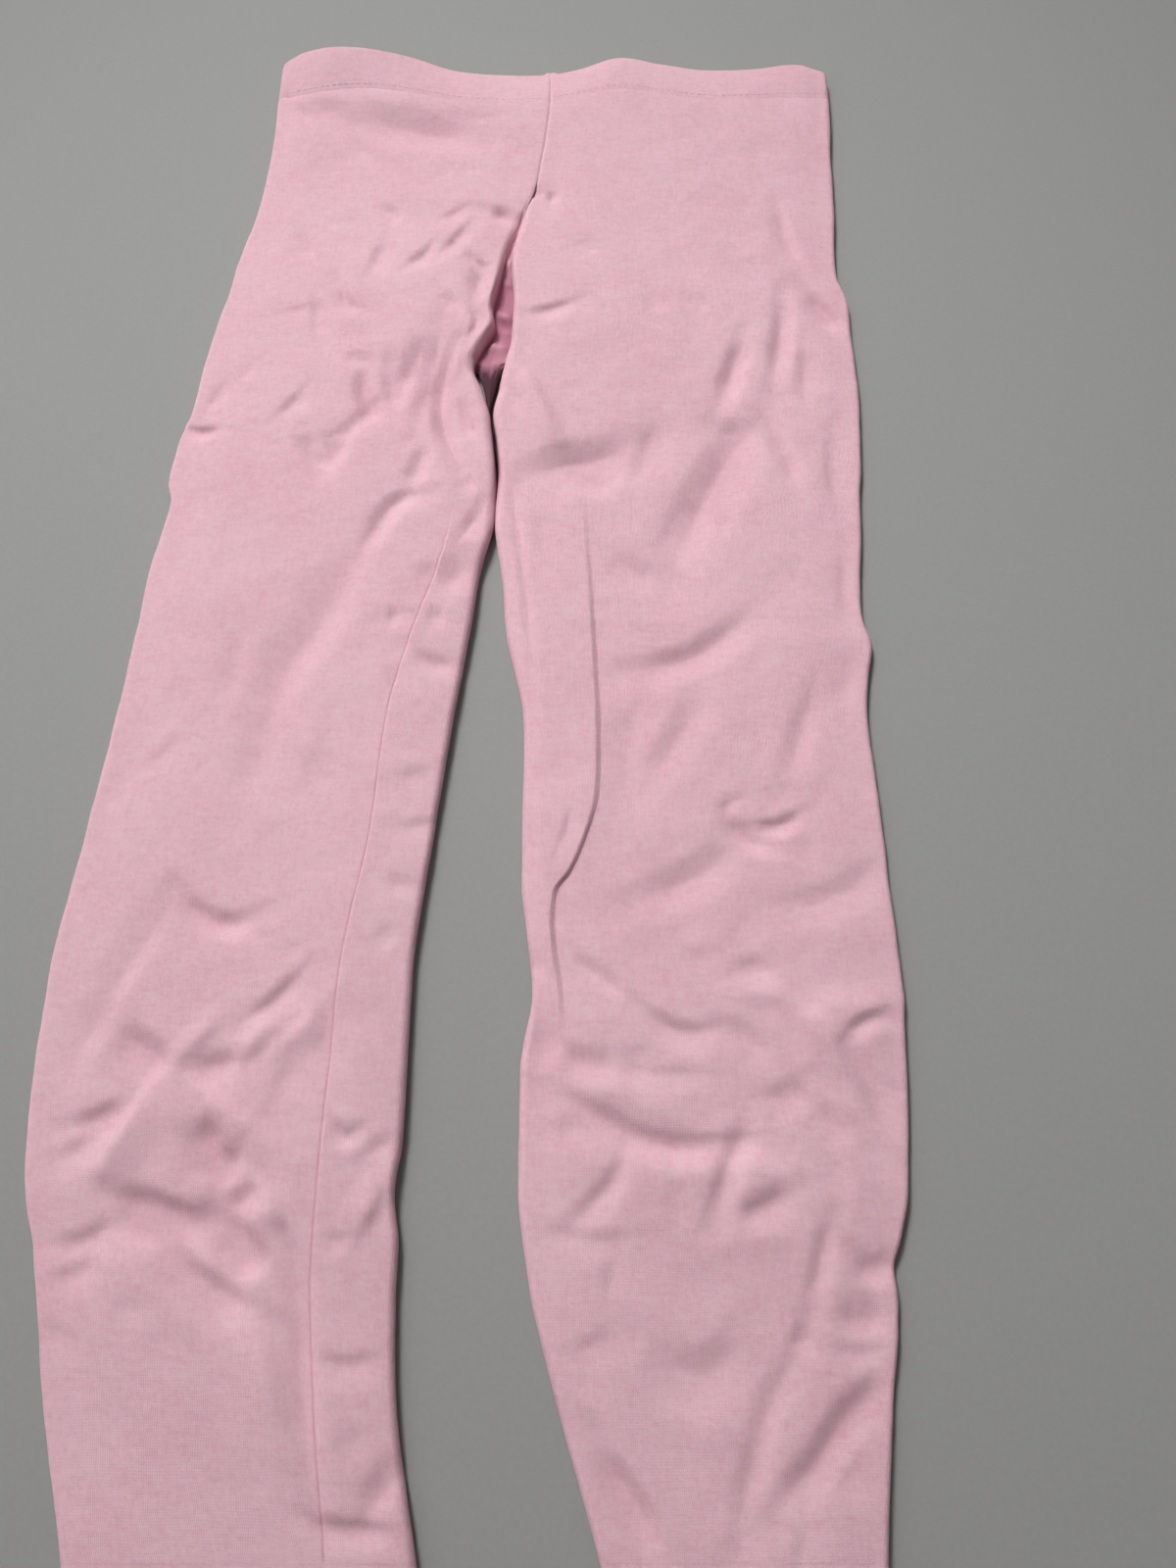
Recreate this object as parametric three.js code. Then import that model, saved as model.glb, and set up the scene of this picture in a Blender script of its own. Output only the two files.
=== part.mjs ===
// Child's plain jersey leggings, laid flat on their back with the front up.
// Millimetres, +Z up, +Y towards the waist, left and right as seen from the hems.
// Each leg is one cut panel with no side seam. It wraps from the front rise seam over
// the front, round the outer fold, along the back and, below the crotch, round the
// inner fold to close as a tube. The waist casing and the hems are the panels' turned
// edges, each a thicker wall of its own, parted from the panel at its line of stitching.
import * as THREE from 'three';

// Cloth
const CLOTH = 1.1;
const CASING = 2.2;
const HEM_CLOTH = 1.8;
const SEAM_GAP = 0.3;
const LEAST_AIR = 0.5;

// Lengths along the garment
const WAIST_SEAM = 272;
const CROTCH = 125;
const HEM_SEAM = -277;
const HEM_END = -298;
const WAIST_BLEND = 46;

// How finely the cloth is laid out
const ROWS_ABOVE = 18;
const ROWS_BELOW = 42;
const BAND_ROWS = 4;
const HEM_ROWS = 2;
const WALL_CELLS = 2;
const INNER_LANES = 4;
const OUTER_LANES = 11;
const OUTER_ROUND = 4;
const UNDER_LANES = 5;
const INNER_ROUND = 3;
const FLOOR_CELLS = 2;
const LEDGE_RUN = 1.8;

// Outline of the left leg. outer and inner are the folds' outermost lines; crest,
// middle and edge are the heights at the inner fold, half way and the outer fold;
// ledge is the line of the inseam on the front, and step its height.
const LEFT_LEG = [
  { y: 300, outer: -108, inner: 8, crest: 8.4, middle: 8.6, edge: 5.2, ledge: -28, step: 0 },
  { y: 272, outer: -108, inner: 8, crest: 8.4, middle: 8.4, edge: 5.1, ledge: -28, step: 0 },
  { y: 240, outer: -107.7, inner: 6, crest: 8.0, middle: 7.4, edge: 4.4, ledge: -30, step: 0 },
  { y: 205, outer: -110.2, inner: 1, crest: 8.1, middle: 7.2, edge: 4.2, ledge: -32, step: 0 },
  { y: 172, outer: -116.2, inner: -5, crest: 8.9, middle: 7.0, edge: 4.2, ledge: -34, step: 0 },
  { y: 145, outer: -119.7, inner: -9, crest: 9.1, middle: 6.6, edge: 4.2, ledge: -34, step: 0 },
  { y: 121, outer: -122.5, inner: -14.4, crest: 8.7, middle: 6.2, edge: 4.2, ledge: -34, step: 0 },
  { y: 110, outer: -123.2, inner: -11, crest: 8.3, middle: 6.0, edge: 4.2, ledge: -31, step: 0 },
  { y: 99, outer: -124.3, inner: -7.6, crest: 7.9, middle: 6.0, edge: 4.2, ledge: -28, step: 0 },
  { y: 85, outer: -127.1, inner: -5.7, crest: 7.4, middle: 5.8, edge: 4.2, ledge: -24, step: 0 },
  { y: 68, outer: -128.1, inner: -4.5, crest: 6.8, middle: 5.6, edge: 4.0, ledge: -20, step: 0 },
  { y: 47, outer: -127.7, inner: -5.3, crest: 6.2, middle: 5.4, edge: 4.0, ledge: -20, step: 0.2 },
  { y: 28, outer: -129.9, inner: -9.2, crest: 5.9, middle: 5.3, edge: 4.0, ledge: -24, step: 0.4 },
  { y: 0, outer: -131.1, inner: -12.3, crest: 5.4, middle: 5.2, edge: 3.9, ledge: -32, step: 0.5 },
  { y: -30, outer: -132.9, inner: -16.2, crest: 5.2, middle: 5.1, edge: 3.9, ledge: -38, step: 0.5 },
  { y: -75, outer: -136.3, inner: -21, crest: 5.0, middle: 5.0, edge: 3.9, ledge: -41, step: 0.5 },
  { y: -115, outer: -139.7, inner: -25, crest: 5.2, middle: 5.2, edge: 3.9, ledge: -46.5, step: 0.5 },
  { y: -150, outer: -138.9, inner: -25, crest: 5.4, middle: 5.4, edge: 3.9, ledge: -47.5, step: 0.5 },
  { y: -186, outer: -135.5, inner: -27, crest: 5.2, middle: 5.4, edge: 3.9, ledge: -48, step: 0.5 },
  { y: -215, outer: -127, inner: -24.7, crest: 5.0, middle: 5.0, edge: 3.9, ledge: -47.5, step: 0.5 },
  { y: -245, outer: -119.1, inner: -22.2, crest: 5.0, middle: 4.8, edge: 4.0, ledge: -43.5, step: 0.5 },
  { y: -277, outer: -108.6, inner: -15.2, crest: 4.9, middle: 4.7, edge: 4.4, ledge: -38, step: 0.4 },
  { y: -298, outer: -105, inner: -12, crest: 4.8, middle: 4.7, edge: 4.4, ledge: -36, step: 0.3 },
];

// Outline of the right leg. Its ledge is the free edge of the soft tuck that folds
// over the front beside the inner edge.
const RIGHT_LEG = [
  { y: 300, outer: 137, inner: 18, crest: 8.4, middle: 7.8, edge: 5.2, ledge: 48, step: 0 },
  { y: 272, outer: 137.8, inner: 16, crest: 8.4, middle: 7.4, edge: 5.1, ledge: 46, step: 0 },
  { y: 237, outer: 135.5, inner: 13, crest: 7.9, middle: 7.0, edge: 4.4, ledge: 42, step: 0 },
  { y: 205, outer: 134.1, inner: 5, crest: 8.1, middle: 6.8, edge: 4.2, ledge: 38, step: 0 },
  { y: 172, outer: 132.5, inner: -0.4, crest: 8.9, middle: 6.6, edge: 4.2, ledge: 34, step: 0 },
  { y: 152, outer: 136.1, inner: 0, crest: 9.1, middle: 6.4, edge: 4.2, ledge: 32, step: 0 },
  { y: 121, outer: 136.1, inner: -3.3, crest: 8.7, middle: 6.2, edge: 4.2, ledge: 29, step: 0 },
  { y: 110, outer: 135.9, inner: -5.2, crest: 8.3, middle: 6.2, edge: 4.2, ledge: 28, step: 0 },
  { y: 99, outer: 135.3, inner: -7.0, crest: 7.9, middle: 6.2, edge: 4.2, ledge: 27.5, step: 0 },
  { y: 85, outer: 134.4, inner: -5.1, crest: 7.4, middle: 6.0, edge: 4.2, ledge: 27, step: 0 },
  { y: 68, outer: 133.1, inner: -3.9, crest: 6.8, middle: 5.8, edge: 4.0, ledge: 27.5, step: 0.2 },
  { y: 47, outer: 131.1, inner: -4.5, crest: 6.2, middle: 5.4, edge: 4.0, ledge: 29, step: 0.9 },
  { y: 22, outer: 129.3, inner: -0.8, crest: 5.6, middle: 5.2, edge: 4.0, ledge: 30.5, step: 1.6 },
  { y: 0, outer: 130.3, inner: 1.2, crest: 5.2, middle: 5.2, edge: 4.2, ledge: 31.4, step: 1.9 },
  { y: -30, outer: 126.7, inner: 7.4, crest: 5.0, middle: 5.0, edge: 3.9, ledge: 32.2, step: 2.1 },
  { y: -66, outer: 127.7, inner: 8.2, crest: 5.0, middle: 5.0, edge: 3.9, ledge: 31, step: 2.3 },
  { y: -92, outer: 128.1, inner: 8.5, crest: 5.0, middle: 5.0, edge: 3.9, ledge: 19.5, step: 2.1 },
  { y: -128, outer: 129, inner: 12.6, crest: 5.1, middle: 5.3, edge: 3.9, ledge: 20.5, step: 1.8 },
  { y: -150, outer: 127.5, inner: 9.3, crest: 5.0, middle: 5.4, edge: 3.9, ledge: 20, step: 0.5 },
  { y: -186, outer: 124.1, inner: 9.4, crest: 5.0, middle: 5.2, edge: 3.9, ledge: 22, step: 0 },
  { y: -215, outer: 118.1, inner: 14, crest: 5.0, middle: 5.0, edge: 3.9, ledge: 27, step: 0 },
  { y: -245, outer: 113.7, inner: 22.6, crest: 5.0, middle: 4.9, edge: 4.0, ledge: 36, step: 0 },
  { y: -277, outer: 109, inner: 32.7, crest: 4.9, middle: 4.9, edge: 4.4, ledge: 46, step: 0 },
  { y: -298, outer: 107, inner: 37, crest: 4.8, middle: 4.9, edge: 4.4, ledge: 49, step: 0 },
];

// Front rise seam and the valley it runs down to the crotch. left and right are the
// feet of the valley's two sides, sink their depth under the crests, bank the sides' run.
const RISE = [
  { y: 300, seam: 13.2, left: 11.9, right: 14.5, sink: 0.5, bank: 1.5 },
  { y: 272, seam: 13.4, left: 12.1, right: 14.7, sink: 0.5, bank: 1.5 },
  { y: 245, seam: 11.4, left: 10.1, right: 12.7, sink: 0.5, bank: 1.5 },
  { y: 216, seam: 7.5, left: 6.2, right: 8.8, sink: 0.7, bank: 1.8 },
  { y: 197, seam: 1.6, left: 0.2, right: 3.0, sink: 1.9, bank: 2.6 },
  { y: 178, seam: -2.6, left: -4.4, right: -0.9, sink: 4.2, bank: 3.2 },
  { y: 160, seam: -4.2, left: -8.2, right: -0.2, sink: 5.4, bank: 3.6 },
  { y: 140, seam: -5.6, left: -9.9, right: -0.8, sink: 5.4, bank: 3.9 },
  { y: 125, seam: -8.4, left: -14.3, right: -2.8, sink: 5.0, bank: 4.1 },
];

// Waist casing on the front: its seam line and its folded top edge, in plan and height.
const CASING_LINE = [
  { x: -109, seamY: 275.5, seamZ: 5.1, edgeY: 294.5, edgeZ: 5.6 },
  { x: -102, seamY: 274.8, seamZ: 6.2, edgeY: 297.8, edgeZ: 9.4 },
  { x: -88, seamY: 274.4, seamZ: 8.6, edgeY: 298.8, edgeZ: 12.2 },
  { x: -70, seamY: 275.4, seamZ: 9.4, edgeY: 298.4, edgeZ: 12.2 },
  { x: -50, seamY: 273.0, seamZ: 9.6, edgeY: 295.6, edgeZ: 10.0 },
  { x: -30, seamY: 268.8, seamZ: 9.0, edgeY: 290.6, edgeZ: 7.0 },
  { x: -8, seamY: 267.2, seamZ: 8.6, edgeY: 289.4, edgeZ: 5.6 },
  { x: 12, seamY: 268.4, seamZ: 8.4, edgeY: 289.8, edgeZ: 5.5 },
  { x: 26, seamY: 271.6, seamZ: 8.6, edgeY: 292.4, edgeZ: 6.2 },
  { x: 44, seamY: 275.4, seamZ: 9.4, edgeY: 296.6, edgeZ: 8.8 },
  { x: 62, seamY: 273.4, seamZ: 8.4, edgeY: 294.2, edgeZ: 7.6 },
  { x: 82, seamY: 271.6, seamZ: 7.2, edgeY: 292.6, edgeZ: 5.8 },
  { x: 104, seamY: 272.4, seamZ: 6.6, edgeY: 293.4, edgeZ: 5.6 },
  { x: 124, seamY: 273.8, seamZ: 6.0, edgeY: 295.4, edgeZ: 6.3 },
  { x: 138, seamY: 275.2, seamZ: 5.1, edgeY: 291.5, edgeZ: 5.3 },
];

// Largest folds of the front. Each runs from (x0, y0) to (x1, y1), bowed sideways by
// bow, with its spread to either side and its height, which is negative for a trough.
const FOLDS = [
  { x0: -72, y0: 259, x1: -28, y1: 256, bow: 3, spread: 7, height: -1.8 },
  { x0: -98, y0: 272, x1: -80, y1: 250, bow: 2, spread: 5, height: -1.2 },
  { x0: -14, y0: 204, x1: 2, y1: 196, bow: -3, spread: 4, height: -1.4 },
  { x0: -38, y0: 130, x1: -20, y1: 72, bow: -3, spread: 6, height: -1.7 },
  { x0: -57, y0: 118, x1: -60, y1: 92, bow: -4, spread: 5, height: -1.0 },
  { x0: -33, y0: 61, x1: -68, y1: 0, bow: -7, spread: 8, height: -1.7 },
  { x0: -68, y0: 0, x1: -86, y1: -44, bow: 0, spread: 9, height: -1.2 },
  { x0: -4, y0: 40, x1: -27, y1: 20, bow: 2, spread: 6, height: -1.6 },
  { x0: -33, y0: -5, x1: -12, y1: -12, bow: -2, spread: 4, height: -1.4 },
  { x0: -104, y0: -92, x1: -76, y1: -102, bow: -4, spread: 4.5, height: -1.6 },
  { x0: -114, y0: -133, x1: -76, y1: -147, bow: -3, spread: 6, height: -1.7 },
  { x0: -78, y0: -147, x1: -58, y1: -117, bow: -3, spread: 5.5, height: -1.5 },
  { x0: -126, y0: -166, x1: -97, y1: -150, bow: 2, spread: 6, height: -1.4 },
  { x0: -114, y0: -184, x1: -74, y1: -193, bow: -2, spread: 5.5, height: -1.9 },
  { x0: -93, y0: -199, x1: -64, y1: -215, bow: -2, spread: 5, height: -1.4 },
  { x0: -64, y0: -216, x1: -42, y1: -266, bow: -3, spread: 7, height: -1.3 },
  { x0: -44, y0: -262, x1: -18, y1: -271, bow: -4, spread: 4.5, height: -1.5 },
  { x0: 6, y0: 116, x1: 26, y1: 78, bow: -3, spread: 7, height: -2.0 },
  { x0: 24, y0: 79, x1: 46, y1: 84, bow: -1, spread: 6, height: -1.2 },
  { x0: 94, y0: 92, x1: 52, y1: 26, bow: 6, spread: 9, height: -1.7 },
  { x0: 98, y0: 96, x1: 111, y1: 60, bow: 0, spread: 6, height: -1.1 },
  { x0: 40, y0: -13, x1: 90, y1: 12, bow: 2, spread: 6, height: -1.5 },
  { x0: 122, y0: -4, x1: 98, y1: -46, bow: -3, spread: 8, height: -1.2 },
  { x0: 78, y0: -72, x1: 44, y1: -98, bow: 1, spread: 6.5, height: -1.6 },
  { x0: 76, y0: -72, x1: 102, y1: -66, bow: 2, spread: 4.5, height: -1.5 },
  { x0: 126, y0: -82, x1: 88, y1: -99, bow: -1, spread: 6, height: -1.3 },
  { x0: 21, y0: -114, x1: 70, y1: -138, bow: 3, spread: 5.5, height: -1.5 },
  { x0: 88, y0: -122, x1: 118, y1: -168, bow: 6, spread: 7, height: -1.4 },
  { x0: 34, y0: -158, x1: 66, y1: -176, bow: -2, spread: 6, height: -1.4 },
  { x0: 122, y0: -198, x1: 108, y1: -205, bow: 0, spread: 5, height: -1.2 },
  { x0: 114, y0: -231, x1: 78, y1: -267, bow: 2, spread: 6, height: -1.6 },
  { x0: 92, y0: -214, x1: 69, y1: -274, bow: 4, spread: 6.5, height: -1.4 },
  { x0: 34, y0: -252, x1: 50, y1: -277, bow: 0, spread: 6, height: -1.2 },
];

const COLOURS = { jersey: 0xe2b4c0, casing: 0xdfb3bf, hem: 0xdcacb9 };

const lerp = (a, b, t) => a + (b - a) * t;

function ease(t) {
  const k = Math.min(Math.max(t, 0), 1);
  return k * k * (3 - 2 * k);
}

// Smooth curve through a table's column, whose key runs up or down the rows.
function sample(table, key, column, value) {
  const rows = table[0][key] < table[1][key] ? table : [...table].reverse();
  const last = rows.length - 1;
  const held = Math.min(Math.max(value, rows[0][key]), rows[last][key]);
  let i = 0;
  while (i < last - 1 && rows[i + 1][key] < held) i += 1;
  const slope = (k) => {
    const a = rows[Math.max(k - 1, 0)];
    const b = rows[Math.min(k + 1, last)];
    return (b[column] - a[column]) / (b[key] - a[key]);
  };
  const span = rows[i + 1][key] - rows[i][key];
  const t = (held - rows[i][key]) / span;
  const a = rows[i][column];
  const b = rows[i + 1][column];
  const bend = (1 - t) * slope(i) * span - t * slope(i + 1) * span - (1 - 2 * t) * (b - a);
  return lerp(a, b, t) + t * (1 - t) * bend;
}

// Height that the folds add to the front at a place in plan.
function foldHeight(x, y) {
  let height = 0;
  for (const fold of FOLDS) {
    const runX = fold.x1 - fold.x0;
    const runY = fold.y1 - fold.y0;
    const length = Math.hypot(runX, runY);
    const along = ((x - fold.x0) * runX + (y - fold.y0) * runY) / (length * length);
    const side = ((y - fold.y0) * runX - (x - fold.x0) * runY) / length;
    const held = Math.min(Math.max(along, 0), 1);
    const off = side - fold.bow * 4 * held * (1 - held);
    const past = (along - held) * length;
    const reach = (off * off + past * past) / (2 * fold.spread * fold.spread);
    if (reach < 8) {
      const taper = 0.45 + 0.55 * Math.sin(Math.PI * held);
      height += fold.height * taper * Math.exp(-reach);
    }
  }
  return height;
}

// The sizes of one leg's section at a length y along the garment.
function sectionAt(leg, y) {
  const at = (column) => sample(leg.outline, 'y', column, y);
  const above = y >= CROTCH;
  const rise = (column) => sample(RISE, 'y', column, Math.max(y, CROTCH));
  const edge = at('edge');
  const foot = above ? rise(leg.footColumn) : at('inner');
  const crestFree = at('crest');
  const bank = above ? rise('bank') : crestFree * 0.47;
  const crestX = foot + leg.side * bank;
  const ledge = at('ledge');
  return {
    y,
    above,
    foot,
    crestX,
    edge,
    ledge,
    outerX: at('outer'),
    outerTopX: at('outer') - (leg.side * edge) / 2,
    crest: crestFree,
    middle: at('middle'),
    step: at('step'),
    seam: rise('seam') + (leg.side * SEAM_GAP) / 2,
    sink: above ? rise('sink') : crestFree * 0.575,
  };
}

// Height of the front of a leg at plan x in a section.
function frontHeight(leg, section, x) {
  const across = (x - section.crestX) / (section.outerTopX - section.crestX);
  const s = Math.min(Math.max(across, 0), 1);
  const rest = 1 - s;
  const loft = section.crest * rest * rest + section.middle * 2 * s * rest + section.edge * s * s;
  const inside = Math.min(Math.abs(x - section.crestX), Math.abs(section.outerTopX - x));
  const fade = 0.35 + 0.65 * ease(inside / 9);
  const past = leg.side * (x - section.ledge);
  const step = section.step * (1 - ease(past / LEDGE_RUN)) * ease(0.4 + inside / 8);
  const waist = ease(1 - (WAIST_SEAM - section.y) / WAIST_BLEND);
  const rim = lerp(section.edge, sample(CASING_LINE, 'x', 'seamZ', x), ease((1 - s) * 14));
  const height = lerp(loft + step + foldHeight(x, section.y) * fade, rim, waist);
  return Math.max(height, 2 * CLOTH + LEAST_AIR);
}

// How far the rows near the waist follow the seam line of the casing.
function waistShift(x, y) {
  const share = ease(1 - (WAIST_SEAM - y) / WAIST_BLEND);
  return (sample(CASING_LINE, 'x', 'seamY', x) - WAIST_SEAM) * share;
}

function eased(count, from, to, start, end) {
  const list = [];
  for (let i = 0; i <= count; i += 1) list.push(lerp(from, to, lerp(start, end, i / count)));
  return list;
}

// Plan x of every point along the front, from the foot of the inner side to the
// top of the outer fold.
function frontStations(leg, section) {
  const list = [];
  for (let i = 0; i < WALL_CELLS; i += 1) {
    const turn = (Math.PI / 2) * (i / WALL_CELLS);
    list.push(lerp(section.foot, section.crestX, 1 - Math.cos(turn)));
  }
  list.push(...eased(INNER_LANES, section.crestX, section.ledge, 0, 1));
  list.push(...eased(OUTER_LANES, section.ledge + leg.side * LEDGE_RUN, section.outerTopX, 0, 1));
  return list;
}

// One ring of a leg, as named runs of points. The run order is floor, front, round,
// under and inner, from the front rise seam all the way round.
function legRing(leg, y) {
  const section = sectionAt(leg, y);
  const xs = frontStations(leg, section);
  const crestZ = frontHeight(leg, section, section.crestX);
  const footZ = crestZ - section.sink;
  const place = (x, z) => new THREE.Vector3(x, y + waistShift(x, y), z);
  const front = xs.map((x, i) => {
    if (i < WALL_CELLS) {
      const turn = (Math.PI / 2) * (i / WALL_CELLS);
      return place(x, lerp(footZ, crestZ, Math.sin(turn)));
    }
    return place(x, frontHeight(leg, section, x));
  });
  const outerZ = front[front.length - 1].z;
  const half = outerZ / 2;
  const round = [];
  for (let i = 1; i <= OUTER_ROUND; i += 1) {
    const turn = (Math.PI * i) / OUTER_ROUND;
    round.push(place(section.outerTopX + leg.side * half * Math.sin(turn), half + half * Math.cos(turn)));
  }
  const underEnd = section.foot + leg.side * Math.abs(section.crestX - section.foot);
  const under = eased(UNDER_LANES, section.outerTopX, underEnd, 0, 1).slice(1).map((x) => place(x, 0));
  const inner = [];
  for (let i = 1; i < INNER_ROUND; i += 1) {
    const turn = (Math.PI / 2) * (i / INNER_ROUND);
    inner.push(place(lerp(underEnd, section.foot, Math.sin(turn)), footZ * (1 - Math.cos(turn))));
  }
  const floor = [];
  const back = [];
  for (let i = 1; i <= FLOOR_CELLS; i += 1) {
    const t = i / FLOOR_CELLS;
    floor.push(place(lerp(section.foot, section.seam, t), footZ - 0.3 * t));
    back.push(place(lerp(underEnd, section.seam, t), 0));
  }
  return { front, round, under, inner, floor, back };
}

// A sheet of quads that is thickened to a wall. lock names the axes a point's wall
// may not lean along, so that facing edges of a seam stay parallel.
class Sheet {
  constructor(flip) {
    this.flip = flip;
    this.points = [];
    this.locks = [];
    this.quads = [];
  }

  add(point, lock = '') {
    this.points.push(point);
    this.locks.push(lock);
    return this.points.length - 1;
  }

  quad(a, b, c, d) {
    this.quads.push(this.flip ? [a, d, c, b] : [a, b, c, d]);
  }

  // Quads between two rows of indices laid the same way.
  strip(upper, lower) {
    for (let i = 0; i + 1 < upper.length; i += 1) {
      this.quad(upper[i], lower[i], lower[i + 1], upper[i + 1]);
    }
  }

  normals() {
    const list = this.points.map(() => new THREE.Vector3());
    for (const [a, b, c, d] of this.quads) {
      const p = this.points;
      const across = new THREE.Vector3().subVectors(p[c], p[a]);
      const along = new THREE.Vector3().subVectors(p[d], p[b]);
      const normal = across.cross(along).normalize();
      for (const i of [a, b, c, d]) list[i].add(normal);
    }
    list.forEach((normal, i) => {
      if (this.locks[i].includes('x')) normal.x = 0;
      if (this.locks[i].includes('y')) normal.y = 0;
      normal.normalize();
    });
    return list;
  }

  thicken(wall) {
    const normals = this.normals();
    const count = this.points.length;
    const positions = [];
    const faces = [];
    for (const p of this.points) positions.push(p.x, p.y, p.z);
    this.points.forEach((p, i) => {
      const q = p.clone().addScaledVector(normals[i], -wall);
      positions.push(q.x, q.y, q.z);
    });
    const edges = new Map();
    for (const quad of this.quads) {
      const [a, b, c, d] = quad;
      faces.push(a, b, c, a, c, d);
      faces.push(count + a, count + c, count + b, count + a, count + d, count + c);
      quad.forEach((from, k) => edges.set(`${from}_${quad[(k + 1) % 4]}`, [from, quad[(k + 1) % 4]]));
    }
    for (const [from, to] of edges.values()) {
      if (!edges.has(`${to}_${from}`)) {
        faces.push(to, from, count + from, to, count + from, count + to);
      }
    }
    const geometry = new THREE.BufferGeometry();
    geometry.setAttribute('position', new THREE.Float32BufferAttribute(positions, 3));
    geometry.setIndex(faces);
    geometry.computeVertexNormals();
    return geometry;
  }
}

// Lengths of the rows, closer together by the crotch than at the waist and the hem.
function rowLengths() {
  const above = [];
  for (let i = 0; i < ROWS_ABOVE; i += 1) {
    const t = i / ROWS_ABOVE;
    above.push(lerp(WAIST_SEAM, CROTCH, t + 0.22 * t * (1 - t)));
  }
  const below = [];
  for (let i = 1; i <= ROWS_BELOW; i += 1) {
    const t = i / ROWS_BELOW;
    below.push(lerp(CROTCH, HEM_SEAM, t - 0.22 * t * (1 - t)));
  }
  return { above, below };
}

// Adds a ring's points to a sheet and gives their indices, run by run.
function addRing(sheet, ring, parts, lock) {
  const seamLock = `${lock}x`;
  const seams = new Set([ring.floor[FLOOR_CELLS - 1], ring.back[FLOOR_CELLS - 1]]);
  const indices = {};
  for (const part of parts) {
    indices[part] = ring[part].map((p) => sheet.add(p, seams.has(p) ? seamLock : lock));
  }
  return indices;
}

const OPEN_RUNS = ['floor', 'front', 'round', 'under', 'back'];
const TUBE_RUNS = ['front', 'round', 'under', 'inner'];

function openLoop(ring) {
  return [...[...ring.floor].reverse(), ...ring.front, ...ring.round, ...ring.under, ...ring.back];
}

function tubeLoop(ring) {
  return [...ring.front, ...ring.round, ...ring.under, ...ring.inner, ring.front[0]];
}

// The crotch: a patch that turns the inner fold of the leg into the folded end of
// the valley, so that front and back of the panel meet under the crotch.
function crotchPatch(sheet, ring, indices) {
  const side = [indices.front[0], ...[...indices.inner].reverse(), indices.under[UNDER_LANES - 1]];
  const rim = ring.floor[FLOOR_CELLS - 1];
  const half = rim.z / 2;
  let previous = side;
  for (let i = 1; i <= FLOOR_CELLS; i += 1) {
    const share = i / FLOOR_CELLS;
    const column = [indices.floor[i - 1]];
    for (let j = 1; j < INNER_ROUND; j += 1) {
      const turn = Math.PI * (0.5 - j / INNER_ROUND);
      const end = new THREE.Vector3(rim.x, CROTCH - half * Math.cos(turn), half + half * Math.sin(turn));
      const start = sheet.points[side[j]];
      column.push(sheet.add(start.clone().lerp(end, share), i === FLOOR_CELLS ? 'x' : ''));
    }
    column.push(indices.back[i - 1]);
    for (let j = 0; j < INNER_ROUND; j += 1) {
      sheet.quad(previous[j], column[j], column[j + 1], previous[j + 1]);
    }
    previous = column;
  }
}

function legPanel(leg) {
  const sheet = new Sheet(leg.side < 0);
  const lengths = rowLengths();
  let above = null;
  lengths.above.forEach((y, i) => {
    const indices = addRing(sheet, legRing(leg, y), OPEN_RUNS, i === 0 ? 'y' : '');
    if (above) sheet.strip(openLoop(above), openLoop(indices));
    above = indices;
  });
  const crotchRing = legRing(leg, CROTCH);
  const crotch = addRing(sheet, crotchRing, [...OPEN_RUNS, 'inner'], '');
  sheet.strip(openLoop(above), openLoop(crotch));
  crotchPatch(sheet, crotchRing, crotch);
  let upper = crotch;
  lengths.below.forEach((y, i) => {
    const last = i === lengths.below.length - 1;
    const indices = addRing(sheet, legRing(leg, y), TUBE_RUNS, last ? 'y' : '');
    sheet.strip(tubeLoop(upper), tubeLoop(indices));
    upper = indices;
  });
  return sheet.thicken(CLOTH);
}

// Half of the waist casing, from the front rise seam round the outer fold to the
// back rise seam, rising from its seam line to its folded top edge.
function casingHalf(leg) {
  const sheet = new Sheet(leg.side < 0);
  const base = legRing(leg, WAIST_SEAM);
  let lower = null;
  for (let k = 0; k <= BAND_ROWS; k += 1) {
    const v = k / BAND_ROWS;
    const ring = {};
    for (const part of OPEN_RUNS) {
      ring[part] = base[part].map((p) => {
        const seamY = sample(CASING_LINE, 'x', 'seamY', p.x) + SEAM_GAP;
        const edgeY = sample(CASING_LINE, 'x', 'edgeY', p.x);
        const seamZ = sample(CASING_LINE, 'x', 'seamZ', p.x);
        const edgeZ = sample(CASING_LINE, 'x', 'edgeZ', p.x);
        const rise = (edgeZ - seamZ) * v * Math.min(p.z / seamZ, 1);
        return new THREE.Vector3(p.x, lerp(seamY, edgeY, v), p.z + rise);
      });
    }
    const lock = k === 0 || k === BAND_ROWS ? 'y' : '';
    const indices = addRing(sheet, ring, OPEN_RUNS, lock);
    if (lower) sheet.strip(openLoop(indices), openLoop(lower));
    lower = indices;
  }
  return sheet.thicken(CASING);
}

function hemBand(leg) {
  const sheet = new Sheet(leg.side < 0);
  let upper = null;
  for (let k = 0; k <= HEM_ROWS; k += 1) {
    const y = lerp(HEM_SEAM - SEAM_GAP, HEM_END, k / HEM_ROWS);
    const ring = legRing(leg, y);
    const indices = addRing(sheet, ring, TUBE_RUNS, k === 0 || k === HEM_ROWS ? 'y' : '');
    if (upper) sheet.strip(tubeLoop(upper), tubeLoop(indices));
    upper = indices;
  }
  return sheet.thicken(HEM_CLOTH);
}

function cloth(colour) {
  return new THREE.MeshStandardMaterial({ color: colour, roughness: 0.95, metalness: 0 });
}

function piece(name, geometry, colour) {
  const mesh = new THREE.Mesh(geometry, cloth(colour));
  mesh.name = name;
  return mesh;
}

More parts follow.
